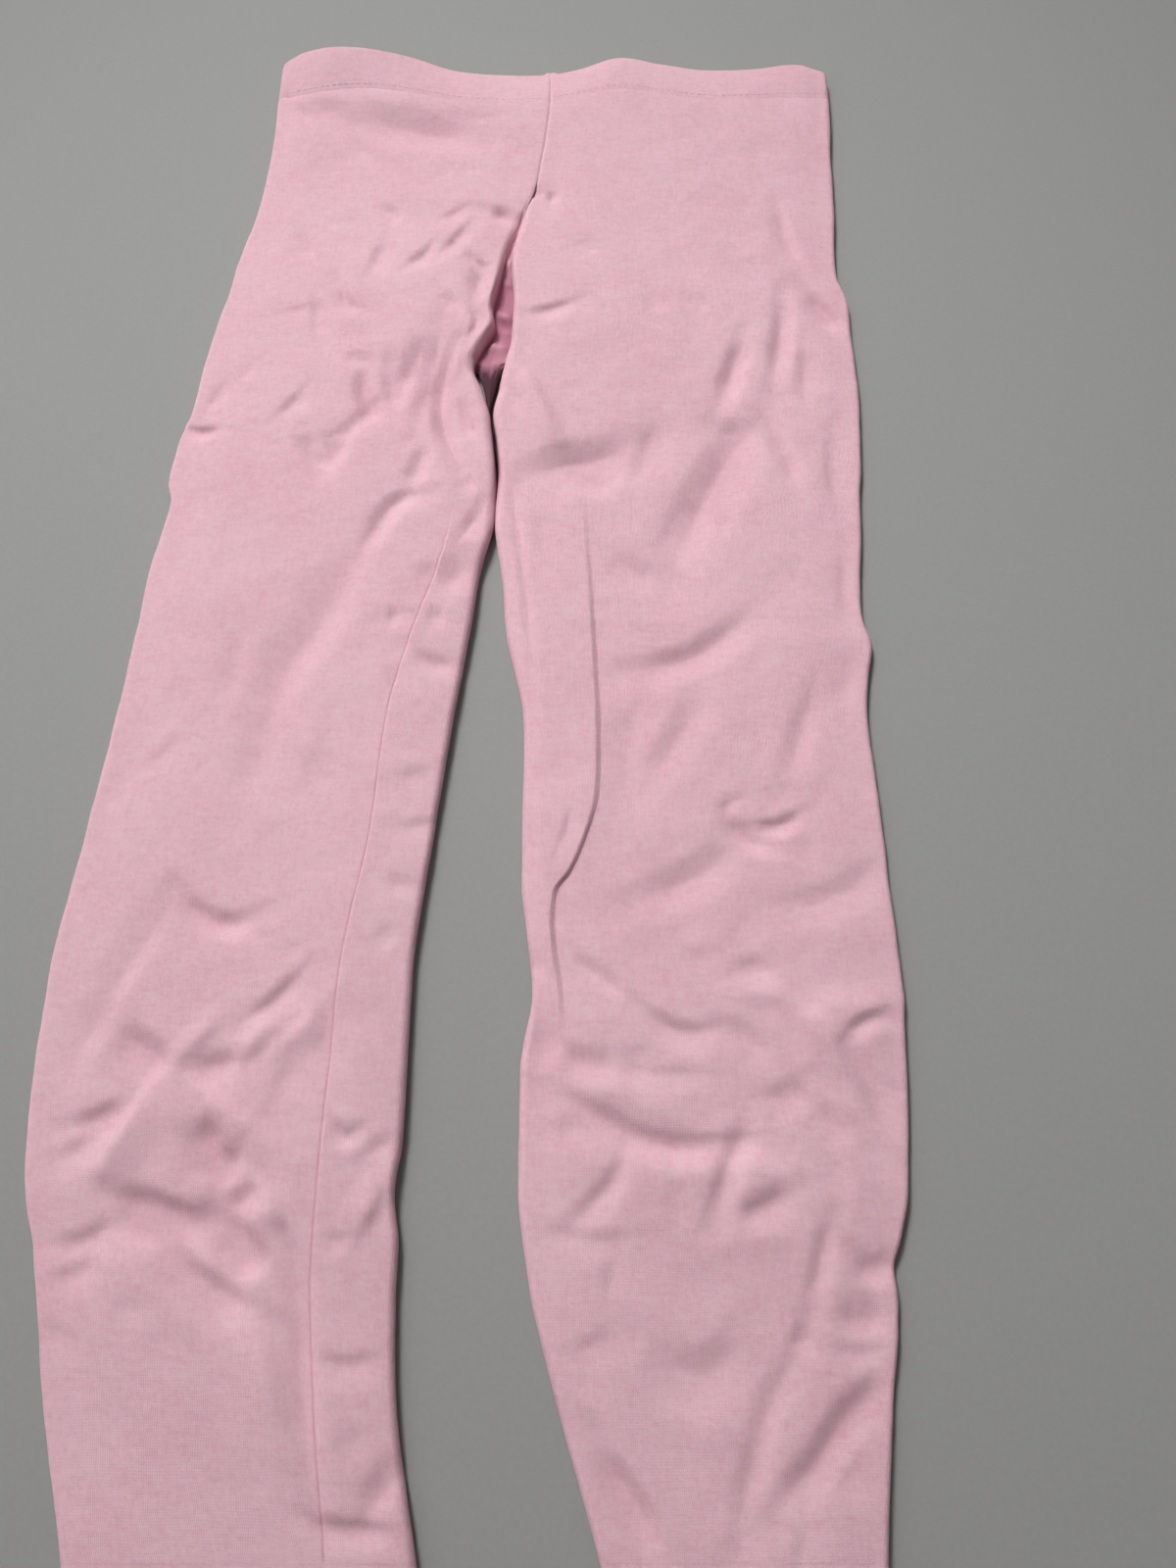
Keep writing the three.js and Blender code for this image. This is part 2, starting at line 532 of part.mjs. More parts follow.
const LEFT = { side: -1, outline: LEFT_LEG, footColumn: 'left' };
const RIGHT = { side: 1, outline: RIGHT_LEG, footColumn: 'right' };

const leggings = new THREE.Group();
leggings.add(piece('leg_left', legPanel(LEFT), COLOURS.jersey));
leggings.add(piece('leg_right', legPanel(RIGHT), COLOURS.jersey));
leggings.add(piece('waist_casing_left', casingHalf(LEFT), COLOURS.casing));
leggings.add(piece('waist_casing_right', casingHalf(RIGHT), COLOURS.casing));
leggings.add(piece('hem_left', hemBand(LEFT), COLOURS.hem));
leggings.add(piece('hem_right', hemBand(RIGHT), COLOURS.hem));

export default leggings;
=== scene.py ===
"""Child's pink jersey leggings, laid flat on their back with the front up.

Sizes are in millimetres until a mesh is made, and in metres from there on. +Y runs
towards the waist, +Z up, and left and right are as seen from the hems.
"""

import logging
import math
from dataclasses import dataclass, field
from enum import Enum
from typing import Callable, NamedTuple, Sequence

import bpy
import numpy as np
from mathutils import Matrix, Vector

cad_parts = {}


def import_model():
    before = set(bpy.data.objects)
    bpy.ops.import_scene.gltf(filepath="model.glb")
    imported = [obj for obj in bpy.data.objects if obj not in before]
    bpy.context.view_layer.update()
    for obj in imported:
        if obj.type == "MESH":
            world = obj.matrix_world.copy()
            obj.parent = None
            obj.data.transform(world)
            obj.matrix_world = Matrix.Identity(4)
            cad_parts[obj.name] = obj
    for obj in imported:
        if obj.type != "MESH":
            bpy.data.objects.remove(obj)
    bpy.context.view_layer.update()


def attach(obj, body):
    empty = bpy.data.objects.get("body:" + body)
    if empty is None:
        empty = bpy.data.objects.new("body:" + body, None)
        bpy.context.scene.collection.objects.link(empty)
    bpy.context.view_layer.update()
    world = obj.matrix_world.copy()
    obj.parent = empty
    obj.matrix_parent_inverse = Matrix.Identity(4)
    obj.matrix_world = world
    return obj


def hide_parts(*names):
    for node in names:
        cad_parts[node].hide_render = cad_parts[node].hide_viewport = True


log = logging.getLogger("leggings")

MM = 0.001
SEAM_GAP = 0.02
WAIST_SEAM = 272.0
WAIST_BLEND = 46.0
CROTCH = 125.0
HEM_SEAM = -277.0
HEM_END = -298.0


class Side(Enum):
    """The two legs, with the direction from the rise seam to the outer fold."""

    LEFT = -1
    RIGHT = 1


class LegRow(NamedTuple):
    """Sizes of one section of a leg.

    outer and inner are the folds' outermost lines, crest, middle and edge the heights
    at the inner fold, half way and at the outer fold, ledge the line of the inseam or
    of the tuck's free edge on the front, and step its height.
    """

    y: float
    outer: float
    inner: float
    crest: float
    middle: float
    edge: float
    ledge: float
    step: float


class RiseRow(NamedTuple):
    """One section of the rise seam and of the valley that it runs down."""

    y: float
    seam: float
    left: float
    right: float
    sink: float
    bank: float


class CasingRow(NamedTuple):
    """Seam line and folded top edge of the waist casing's front at one place."""

    x: float
    seam_y: float
    seam_z: float
    edge_y: float
    edge_z: float


class Crease(NamedTuple):
    """One crease of the front, a trough where depth is negative, or else a ridge.

    lean makes the side nearer the waist steeper and the other wider, or the other way
    round below 0, and sharp turns a round fold into a pinched one with flat sides.
    """

    run: tuple[tuple[float, float], ...]
    spread: float
    depth: float
    lean: float = 0.42
    sharp: float = 0.85


def named_rows(kind: type, *rows: tuple[float, ...]) -> tuple:
    """Returns plain rows of numbers as rows of a named kind."""
    return tuple(kind(*row) for row in rows)


LEFT_LEG = named_rows(
    LegRow,
    (300, -108, 8, 8.4, 8.6, 5.2, -28, 0),
    (272, -108, 8, 8.4, 8.4, 5.1, -28, 0),
    (240, -107.7, 6, 8.0, 7.4, 4.4, -30, 0),
    (205, -110.2, 1, 8.1, 7.2, 4.2, -32, 0),
    (178, -115.0, -4.2, 8.8, 7.0, 4.2, -34, 0),
    (165, -116.2, -5.8, 9.0, 6.9, 4.2, -34, 0),
    (145, -119.7, -9, 9.1, 6.6, 4.2, -34, 0),
    (121, -122.5, -14.4, 8.7, 6.2, 4.2, -34, 0),
    (110, -123.2, -11, 8.3, 6.0, 4.2, -31, 0),
    (99, -124.1, -7.6, 7.9, 6.0, 4.2, -28, 0),
    (91, -126.4, -6.5, 7.6, 5.9, 4.2, -26, 0),
    (80, -127.6, -5.3, 7.2, 5.8, 4.2, -23, 0),
    (68, -128.4, -4.5, 6.8, 5.6, 4.0, -20, 0),
    (60, -126.4, -4.6, 6.6, 5.5, 4.0, -20, 0),
    (47, -127.7, -5.3, 6.2, 5.4, 4.0, -20, 0.2),
    (28, -129.9, -9.2, 5.9, 5.3, 4.0, -24, 0.4),
    (0, -131.1, -12.3, 5.4, 5.2, 3.9, -32, 0.5),
    (-30, -132.9, -16.2, 5.2, 5.1, 3.9, -38, 0.5),
    (-75, -136.3, -21, 5.0, 5.0, 3.9, -41, 0.5),
    (-115, -139.7, -25, 5.2, 5.2, 3.9, -46.5, 0.5),
    (-150, -138.9, -25, 5.4, 5.4, 3.9, -47.5, 0.5),
    (-172, -137.2, -25.2, 5.3, 5.4, 3.9, -48, 0.5),
    (-186, -135.2, -26.8, 5.2, 5.4, 3.9, -48, 0.5),
    (-199, -131.0, -24.9, 5.1, 5.2, 3.9, -48, 0.5),
    (-215, -126.6, -24.6, 5.0, 5.0, 3.9, -47.5, 0.5),
    (-245, -119.1, -22.2, 5.0, 4.8, 4.0, -43.5, 0.5),
    (-277, -108.6, -15.2, 4.9, 4.7, 4.4, -38, 0.4),
    (-298, -105, -12, 4.8, 4.7, 4.4, -36, 0.3),
)

RIGHT_LEG = named_rows(
    LegRow,
    (300, 137, 18, 8.4, 7.8, 5.2, 48, 0),
    (272, 137.8, 16, 8.4, 7.4, 5.1, 46, 0),
    (237, 135.5, 13, 7.9, 7.0, 4.4, 42, 0),
    (205, 134.1, 5, 8.1, 6.8, 4.2, 38, 0),
    (172, 132.2, -0.4, 8.9, 6.6, 4.2, 34, 0),
    (159, 135.6, -0.2, 9.0, 6.5, 4.2, 33, 0),
    (148, 135.9, -0.2, 9.1, 6.4, 4.2, 32, 0),
    (121, 136.1, -3.3, 8.7, 6.2, 4.2, 29, 0),
    (110, 135.9, -5.2, 8.3, 6.2, 4.2, 28, 0),
    (99, 135.3, -7.0, 7.9, 6.2, 4.2, 27.5, 0),
    (85, 134.4, -5.1, 7.4, 6.0, 4.2, 27, 0),
    (68, 133.1, -3.9, 6.8, 5.8, 4.0, 27, 0),
    (47, 131.1, -4.5, 6.2, 5.4, 4.0, 28, 0.4),
    (22, 128.9, -0.8, 5.6, 5.2, 4.0, 29.6, 1.0),
    (9, 128.5, 0.2, 5.4, 5.2, 4.1, 30.3, 1.2),
    (-2, 130.5, 1.6, 5.2, 5.2, 4.2, 30.9, 1.2),
    (-14, 128.6, 4.4, 5.1, 5.1, 4.1, 31.4, 1.3),
    (-30, 126.5, 7.6, 5.0, 5.0, 3.9, 32.2, 1.4),
    (-62, 127.6, 8.2, 5.0, 5.0, 3.9, 31.6, 1.4),
    (-76, 127.9, 8.3, 5.0, 5.0, 3.9, 28, 1.4),
    (-87, 128.0, 8.4, 5.0, 5.0, 3.9, 23.4, 1.4),
    (-94, 128.1, 8.6, 5.0, 5.0, 3.9, 18.6, 1.5),
    (-108, 128.5, 10.5, 5.0, 5.2, 3.9, 17.6, 1.5),
    (-128, 129, 12.6, 5.1, 5.3, 3.9, 20.5, 1.0),
    (-142, 127.9, 10.2, 5.0, 5.4, 3.9, 20.4, 0),
    (-150, 127.5, 9.3, 5.0, 5.4, 3.9, 20, 0),
    (-186, 124.3, 9.6, 5.0, 5.2, 3.9, 22, 0),
    (-197, 121.2, 10.8, 5.0, 5.1, 3.9, 23.5, 0),
    (-206, 118.3, 12.2, 5.0, 5.0, 3.9, 25, 0),
    (-218, 118.0, 14.6, 5.0, 5.0, 3.9, 27.5, 0),
    (-245, 113.7, 22.6, 5.0, 4.9, 4.0, 36, 0),
    (-277, 109, 32.7, 4.9, 4.9, 4.4, 46, 0),
    (-298, 107, 37, 4.8, 4.9, 4.4, 49, 0),
)

RISE = named_rows(
    RiseRow,
    (300, 13.2, 12.4, 14.0, 0.1, 1.3),
    (272, 13.4, 12.6, 14.2, 0.1, 1.3),
    (245, 11.4, 10.6, 12.2, 0.1, 1.3),
    (216, 7.6, 6.8, 8.4, 0.12, 1.5),
    (204, 4.0, 3.0, 5.0, 0.5, 2.2),
    (194, 1.4, 0.5, 2.3, 2.2, 2.8),
    (182, -1.8, -2.9, -0.6, 3.6, 2.8),
    (172, -3.2, -4.9, -1.4, 4.8, 2.2),
    (163, -3.6, -6.4, -0.6, 6.2, 1.8),
    (152, -4.4, -8.2, -0.2, 6.5, 2.2),
    (142, -4.6, -7.2, -0.6, 6.6, 2.4),
    (134, -6.2, -10.6, -0.9, 6.2, 3.0),
    (125, -8.4, -14.3, -2.8, 5.0, 4.1),
)

FLOOR_FOLDS: tuple[tuple[float, float, float], ...] = (
    (175, 2.4, 1.2),
    (165, 2.0, 0.9),
    (147, 2.6, 2.3),
    (139, 1.8, 0.8),
    (130, 3.2, 2.0),
)

CASING_LINE = named_rows(
    CasingRow,
    (-109, 275.5, 5.1, 294.5, 5.6),
    (-102, 274.8, 6.2, 297.8, 9.4),
    (-88, 274.4, 8.6, 298.8, 12.2),
    (-70, 275.4, 9.4, 298.4, 12.2),
    (-50, 273.0, 9.6, 295.6, 10.0),
    (-30, 268.8, 9.0, 290.6, 7.0),
    (-8, 267.2, 8.6, 289.4, 5.6),
    (12, 268.4, 8.4, 289.8, 5.5),
    (26, 271.6, 8.6, 292.4, 6.2),
    (44, 275.4, 9.4, 296.6, 8.8),
    (62, 273.4, 8.4, 294.2, 7.6),
    (82, 271.6, 7.2, 292.6, 5.8),
    (104, 272.4, 6.6, 293.4, 5.6),
    (124, 273.8, 6.0, 295.4, 6.3),
    (138, 275.2, 5.1, 291.5, 5.3),
)

def creases(*rows: tuple) -> tuple[Crease, ...]:
    """Turns plain rows into creases.

    Args:
        rows: Each crease's run as x, y, x, y and so on, then its spread and depth, and
            its lean and sharp where they differ from the usual ones.

    Returns:
        The creases, in the same order.
    """
    return tuple(Crease(tuple(zip(run[::2], run[1::2])), *rest) for run, *rest in rows)


LEFT_CREASES = creases(
    # Below the waist casing
    ((-108, 274, -98, 272, -87, 264, -77, 257), 8, -2.4, 0.24, 0.5),
    ((-76, 256, -60, 254, -44, 252, -28, 248, -17, 245), 12, -3.5, 0.04, 0.4),
    ((-109, 266, -100, 269, -91, 264), 5, 1.2, -0.2, 0.8),
    ((-101, 270, -96, 262, -92, 253), 3.6, -1.1),
    ((-75, 249, -69, 242, -62, 233), 4, -1.1),
    ((-40, 262, -20, 262, 2, 266), 9, -0.8),
    # Hip and crotch
    ((-91, 196, -87, 187, -82, 177), 4.6, -1.4),
    ((-57, 208, -52, 203, -48, 196), 4, -1.4),
    ((-12, 203, -4, 200, 3, 194), 5, -3.2, 0.14, 0.7),
    ((-18, 196, -24, 187, -30, 178), 4.2, -1.6),
    ((-22, 204, -30, 198), 4, -1.1),
    ((-33, 184, -38, 177, -45, 171), 4.6, -1.4),
    ((-22, 180, -14, 172, -9, 170), 4.4, -1.6),
    ((-54, 187, -56, 178, -59, 168), 5.4, -1.3),
    ((-71, 162, -67, 154, -60, 149), 4.6, -1.6),
    ((-80, 157, -79, 145, -76, 134), 5.2, -1.1),
    ((-92, 150, -82, 150), 4, -0.7),
    ((-11, 171, -14, 162, -11, 152), 5.4, -2.4, 0, 0.6),
    ((-17, 150, -14, 142, -17, 133), 4, -2),
    ((-28, 158, -22, 148), 4.4, -1.4),
    ((-34, 136, -38, 121, -43, 107), 7.4, -2.7, 0.14),
    ((-48, 124, -47, 110, -44, 98), 6, -1.4),
    ((-28, 140, -30, 124, -33, 104, -36, 88), 6.4, -2.7, 0.14),
    ((-21, 132, -26, 116, -26.5, 98, -23.5, 86, -18.5, 73), 5.4, -3.8, 0.14, 0.8),
    ((-17, 128, -20, 112), 4, -1.8),
    ((-20, 110, -17, 97, -11, 84), 6, -2.6, 0.1, 0.7),
    ((-57, 121, -57.5, 109, -55, 99, -62, 90), 4.6, -2.7, 0.14, 0.8),
    ((-54, 108, -51, 92), 4.4, -1.3),
    ((-66, 126, -56, 123), 5, -0.7, 0.2, 0.4),
    ((-51, 126, -43, 120), 5, -0.7, 0.2, 0.4),
    ((-80, 109, -85, 102, -90, 96), 5, -1.3),
    ((-103, 124, -106, 115), 4, -0.7),
    ((-113, 112, -118, 102), 4, -1.1),
    ((-128, 93.5, -120, 91.5, -110, 91), 3.6, -2),
    ((-79, 90, -75, 80, -71, 71), 5, -2.2, -0.06, 0.8),
    ((-63, 87, -66, 79, -70, 71), 6, -2.3, -0.16, 0.8),
    ((-72, 86, -66, 88), 6, -1.1),
    # Front of the knee
    ((-31, 60, -39, 58.5, -44, 54, -48, 46, -52, 36), 5, -2.2, 0.24, 0.8),
    ((-52, 42, -59, 22, -66, 4, -76, -14, -84, -44), 11, -2.1, -0.16, 0.5),
    ((-78, -26, -80, -42, -86, -66), 12, -1.1, 0.14),
    ((-31, 83, -34, 73, -37, 63), 4.2, -1.6, 0.14, 0.8),
    ((-7, 66, -9, 54, -17, 40), 5, -2, 0.24, 0.8),
    ((-15, 70, -12, 62), 4.6, -1.1),
    ((-4, 34, -13, 28, -25, 20), 9, -2.6, -0.06, 0.7),
    ((-29, 31, -26, 22), 5, -0.9),
    ((-42, 8, -36, 8), 5, -1.3, 0.14, 0.4),
    ((-28, 8, -20, 8), 5, -1, 0.14, 0.4),
    ((-33, -4, -26, -10, -19, -11.5, -12, -10), 5, -1.9, 0.24, 0.7),
    ((-38, -10, -36, -22), 5, -0.8),
    ((-95, 4, -93, -10, -95, -26), 6, -0.8, -0.16),
    ((-60, -42, -64, -58), 7, -0.6),
    ((-109, -40, -118, -50), 6, -0.7),
    ((-128, -56, -133, -66), 5, -0.7),
    ((-62, -50, -52, -64), 6, -0.6),
    ((-30, -72, -24, -71, -18, -69), 4.4, -1.3),
    ((-33, -55, -22, -52), 6, -0.8),
    ((-36, -90, -29, -92, -23, -92), 4.4, -1.2),
    ((-36, -105, -30, -112), 6, -0.7),
    # Shin
    ((-103, -93, -96, -99.5, -88, -104, -80, -104, -75, -101), 4.8, -2.4, 0.24, 0.7),
    ((-78, -108, -72, -109), 3.1, -0.7),
    ((-66, -113, -60, -113), 3.4, -0.6),
    ((-104, -98, -111, -111, -118, -126, -124, -142, -128, -160), 6.8, -1.2, -0.26, 0.8),
    ((-116, -138, -106, -144, -98, -149, -93, -151), 8.4, -3.2, 0.34, 0.85),
    ((-97, -150, -90, -142, -83, -133), 4.2, 1, -0.2, 0.8),
    ((-90, -150, -82, -149, -75, -148), 6, -2.4, 0.24, 0.7),
    ((-76, -136, -68, -130, -58, -119), 4.6, -1.8, 0.48, 0.8),
    ((-66, -147, -58, -139, -51, -127), 5, 1.2, 0.4, 0.8),
    ((-76, -149, -71, -141, -66, -134), 4.2, 1.2, -0.2, 0.8),
    ((-62, -138, -60, -150, -63, -160), 7.6, -1.2),
    ((-55, -126, -50, -140, -48, -156), 6, -0.8),
    ((-126, -167, -117, -165, -107, -160), 5.4, -2.3, 0.34, 0.7),
    ((-128, -176, -121, -174, -115, -169), 5.1, -1.6, 0.34),
    ((-99, -152, -104, -161, -110, -173, -116, -184), 7, 2, 0.5, 0.9),
    ((-87, -163, -81, -173, -77, -185), 8.6, -4, 0.3, 0.9),
    ((-71, -172, -75, -178, -78, -185), 7, -2.6, 0.3, 0.95),
    ((-95, -150, -86, -157, -76, -164.5, -66, -172, -59, -181), 7.6, 1.9, 0.5, 0.9),
    ((-110, -186, -100, -189, -91, -192, -84, -194, -76, -195), 8, -4.2, 0.34, 0.95),
    ((-75, -191, -69, -187, -66, -182), 5.8, -3, 0.1, 0.85),
    ((-69, -181, -63, -188.5, -56, -197), 5.4, 2.4, 0.36, 0.9),
    ((-76, -193, -69, -200, -61, -208), 7.4, -4.4, 0.3, 0.95),
    ((-124, -200, -115, -199, -106, -194), 5.1, -1.8, 0.34),
    ((-123, -210, -115, -207, -108, -202), 4.8, -1.6, 0.34),
    ((-95, -199, -86, -205, -77, -211, -62, -219), 7.2, -3.6, 0.36, 0.95),
    ((-120, -207, -104, -204, -88, -208, -72, -222), 17, 1.7, 0.56, 0.5),
    ((-64, -216, -60, -230, -54, -243, -48, -257, -42, -267), 9, 2.2, -0.1, 0.9),
    ((-54, -203, -51, -222, -48, -240, -45, -255, -41, -268), 7.6, -2.4, -0.26, 0.7),
    ((-124, -221, -115, -225), 4.4, -1.1),
    ((-104, -214, -92, -220), 7.6, -0.6),
    ((-47, -166, -42, -170, -37, -168), 3.1, -1.5, 0.24),
    ((-47, -162, -38, -165), 2.5, 0.6),
    ((-35, -176, -31, -173, -25, -172), 4.2, -1.7, 0.14, 0.7),
    ((-34, -180, -30, -178), 3.8, -0.7),
    ((-27, -176, -31, -186, -37, -197), 5.1, 1.7, -0.4, 0.8),
    ((-37, -198, -46, -199), 3.4, -0.8),
    ((-46, -228, -37, -231, -26, -229), 4.8, -1.3),
    ((-18, -252, -23, -259, -28, -267), 5.1, -2.3, -0.16, 0.8),
    ((-46, -267, -38, -269.5, -28, -270.5, -18, -271), 3.6, -1.8, 0.3, 0.7),
    ((-36, -246, -30, -252), 5.1, -0.6),
    ((-108, -240, -92, -252), 11.9, -0.6),
)

RIGHT_CREASES = creases(
    # Hip
    ((9, 219, 9, 210), 3, -3, 0.14, 0.4),
    ((14, 215, 15, 207), 3.6, -1.8, 0.14, 0.4),
    ((26, 188, 33, 178), 8, -0.9),
    ((110, 208, 113, 191, 118, 177), 5, -2.1),
    ((119, 163, 126, 151, 134, 141), 5.4, -3.2),
    ((4, 145, 14, 148, 26, 153), 4.4, -1.6),
    ((71, 159, 79, 149), 5, -0.9),
    ((92, 138, 88, 124, 81, 102), 5.4, -2.8, 0.14),
    ((109, 160, 107, 140, 102, 110), 5, -2.3, 0.14),
    ((54, 160, 56, 146), 7, -0.9),
    ((116, 132, 114, 106), 6, -1.6),
    # Thigh, below the crotch
    ((-4, 114, 0, 108, 5, 99), 4, -1.6),
    ((1, 122, 8, 108, 14, 95, 20, 78), 7, 2.1, 0.3, 0.85),
    ((6, 67, 20, 74, 32, 76.5, 50, 85), 13, -3.3, 0.3, 0.9),
    ((24, 69, 32, 66, 40, 60), 6, -0.9),
    ((56, 94, 52, 80, 48, 66), 8, -1.2),
    ((72, 98, 82, 90, 92, 91), 9, -1.6, 0.3, 0.9),
    ((98, 97, 88, 86, 80, 72, 73, 58, 68, 46, 61, 28), 12, -3.1, 0.16, 0.95),
    ((56, 62, 62, 50, 52, 30), 10, -1.1, 0.14),
    ((98, 98, 103, 86, 107, 74, 111, 60), 5.4, -2, 0.2, 0.9),
    ((36, 34, 46, 28, 57, 24), 9, -1.2),
    ((124, 92, 122, 72, 123, 54), 5.6, -1.1),
    ((80, 52, 80, 42), 5, -0.7),
    ((13, 52, 14, 30), 7, -0.7),
    # Inseam beside the tuck
    ((-1, 84, 1, 64, 4, 45, 6.7, 25, 8.6, 8, 10, -8, 11.4, -22, 13, -29), 2.2, -0.9, 0, 0.9),
    # Knee
    ((124, 36, 123, 20, 124, 4), 4.4, -1.1, 0.14),
    ((98, 28, 97, 20), 5, -0.4),
    ((43, -14, 54, -11.5, 66, -8, 76, -1, 89, 10), 7.2, -2.3, 0.24, 0.9),
    ((52, -18, 46, -34, 42, -55, 37, -74), 8.4, -1, 0.24),
    ((70, -20, 64, -33, 57, -46, 48, -62), 7.4, -1.3, 0.14),
    ((129, -6, 121, -16, 112, -27), 8.6, -1, 0.14),
    ((111, -14, 106, -28, 101, -42, 96, -58), 6, -1.3, 0.14),
    ((86, -34, 80, -46), 8.6, -0.4),
    ((44, -98, 58, -92, 69, -86, 79, -77), 8, -1.9, 0.14, 0.7),
    ((75, -66, 79, -72.5, 85, -77.5, 91, -79), 3.8, -2, 0.14, 0.85),
    ((84, -71.5, 93, -71, 102, -66), 3.8, -2, 0.34, 0.85),
    ((75, -68, 77, -63, 81, -61), 3.4, -0.8),
    ((108, -60, 102, -78, 100, -92), 7, -0.5),
    ((129, -84, 116, -92, 104, -97, 88, -100), 7.4, -1.5, 0.14, 0.6),
    ((78, -102, 84, -110), 6.4, -0.5),
    ((22, -64, 24, -72, 20, -81), 4, -0.7),
    ((40, -30, 37, -50), 6, -0.6),
    # Shin
    ((7, -111, 12, -117, 18, -122), 4.5, -1.9, 0.14, 0.7),
    ((14, -131, 15, -140, 14, -152), 6.3, -1.3, 0.14),
    ((24, -114, 33, -121, 43, -129), 5, -1.6, 0.34),
    ((46, -131, 53, -136.5, 61, -139, 69, -138), 4.7, -2.1, 0.44, 0.8),
    ((71, -136, 79, -140, 86, -149), 5.4, -1.3, 0.34),
    ((21, -144, 30, -148, 41, -148), 6.8, -1.8, 0.34),
    ((26, -149, 40, -151, 56, -152, 72, -152), 4, -0.8, 0.34),
    ((22, -150, 36, -156, 50, -162, 64, -168), 8.1, 1.3, -0.3),
    ((18, -156, 34, -164.5, 46, -170.5, 59, -173, 76, -171), 5.2, -2.3, 0.3, 0.9),
    ((24, -176, 50, -181, 78, -180, 104, -184), 17, 1.7, 0.56, 0.5),
    ((60, -118, 72, -114), 6.3, -0.6),
    ((73, -124, 82, -119, 90, -121), 5.9, -1.2, 0.24),
    ((90, -123, 98, -130, 101, -136), 5.4, -1.4, 0.34),
    ((78, -127, 90, -128, 99, -136, 107, -149, 120, -172), 5.5, 2.2, -0.2, 0.9),
    ((96, -128, 110, -132, 127, -130), 15, 1.7, 0.56, 0.5),
    ((104, -136, 110, -146, 117, -158, 124, -174), 8.1, -2.1, 0.34, 0.7),
    ((109, -141, 115, -136, 124, -133.5), 3.6, -1.9, 0.34, 0.8),
    ((82, -159, 90, -158, 96, -153), 6.3, -1.6, 0.24),
    ((96, -160, 102, -165, 109, -172), 5.4, -1.3, 0.34),
    ((20, -168, 30, -167), 5.4, -0.8),
    ((42, -148, 50, -145), 6.3, -0.5),
    # Calf
    ((77, -166, 71, -180, 66, -194), 4.8, -2.2, 0.2, 0.9),
    ((70, -192, 79, -191, 92, -184), 5.9, -2, 0.14, 0.7),
    ((41, -173, 37, -183, 24, -196), 4.1, -1.6, 0.14, 0.8),
    ((55, -182, 57, -194), 6.3, -0.6),
    ((18, -196, 34, -199, 48, -197), 4.5, -0.8),
    ((101, -192, 98, -200, 93, -216), 4, -1.5, 0.14),
    ((106, -203, 112, -207, 121, -202), 4.5, -2.7, 0.04, 0.7),
    ((97, -219, 107, -220, 118, -218), 7.2, -2.1, -0.2, 0.8),
    ((97, -226, 106, -228, 116, -227), 4, -1.3, 0.14),
    ((102, -176, 106, -188), 5, -0.9),
    ((37, -203, 36, -214), 3.6, -0.8),
    ((46, -224, 56, -232, 65, -232, 74, -223), 9, -2, 0.24, 0.5),
    ((26, -228, 38, -224), 5.4, -0.8),
    ((92, -221, 87, -228), 4, -1.3, 0.14),
    ((90, -228, 82, -237, 76, -250, 69, -274), 5, -1.4, 0.04),
    ((118, -233, 108, -239, 99, -246, 90, -257, 77, -268), 6.3, -2.6, 0.14, 0.8),
    ((90, -262, 85, -280), 6.3, -0.8),
    ((104, -254, 97, -262), 5.4, -0.8),
    ((31, -249, 41, -262, 51, -276), 6, -3, 0.34, 0.9),
    ((28, -244, 38, -250), 6.3, -0.6),
    ((54, -242, 60, -262), 7.2, -0.5),
)

LEFT_UNDER = creases(
    ((-96, 214, -70, 196, -48, 200), 7, 0.8),
    ((-30, 150, -56, 128, -80, 120), 8, 0.9),
    ((-110, 84, -86, 66), 7, 0.7),
    ((-34, 40, -66, 20, -92, 22), 8, 0.9),
    ((-44, -46, -78, -60), 7, 0.6),
    ((-120, -96, -88, -118, -58, -110), 8, 0.9),
    ((-40, -160, -74, -176), 7, 0.7),
    ((-110, -210, -80, -230, -52, -226), 8, 0.8),
)

RIGHT_UNDER = creases(
    ((36, 226, 66, 206, 104, 210), 8, 0.8),
    ((112, 158, 84, 138, 50, 140), 8, 0.9),
    ((30, 92, 62, 74), 7, 0.7),
    ((110, 40, 80, 22, 46, 30), 8, 0.8),
    ((30, -40, 58, -58, 96, -54), 8, 0.8),
    ((108, -110, 76, -128), 7, 0.7),
    ((34, -158, 64, -176, 94, -170), 8, 0.9),
    ((96, -224, 70, -240, 52, -236), 7, 0.7),
)




def ease(share: np.ndarray | float) -> np.ndarray:
    """Returns a share from 0 to 1 with a soft start and end."""
    held = np.clip(share, 0.0, 1.0)
    return held * held * (3.0 - 2.0 * held)


def blend(start: np.ndarray | float, end: np.ndarray | float, share: np.ndarray | float) -> np.ndarray:
    """Returns the value at a share of the way from start to end."""
    return start + (end - start) * share


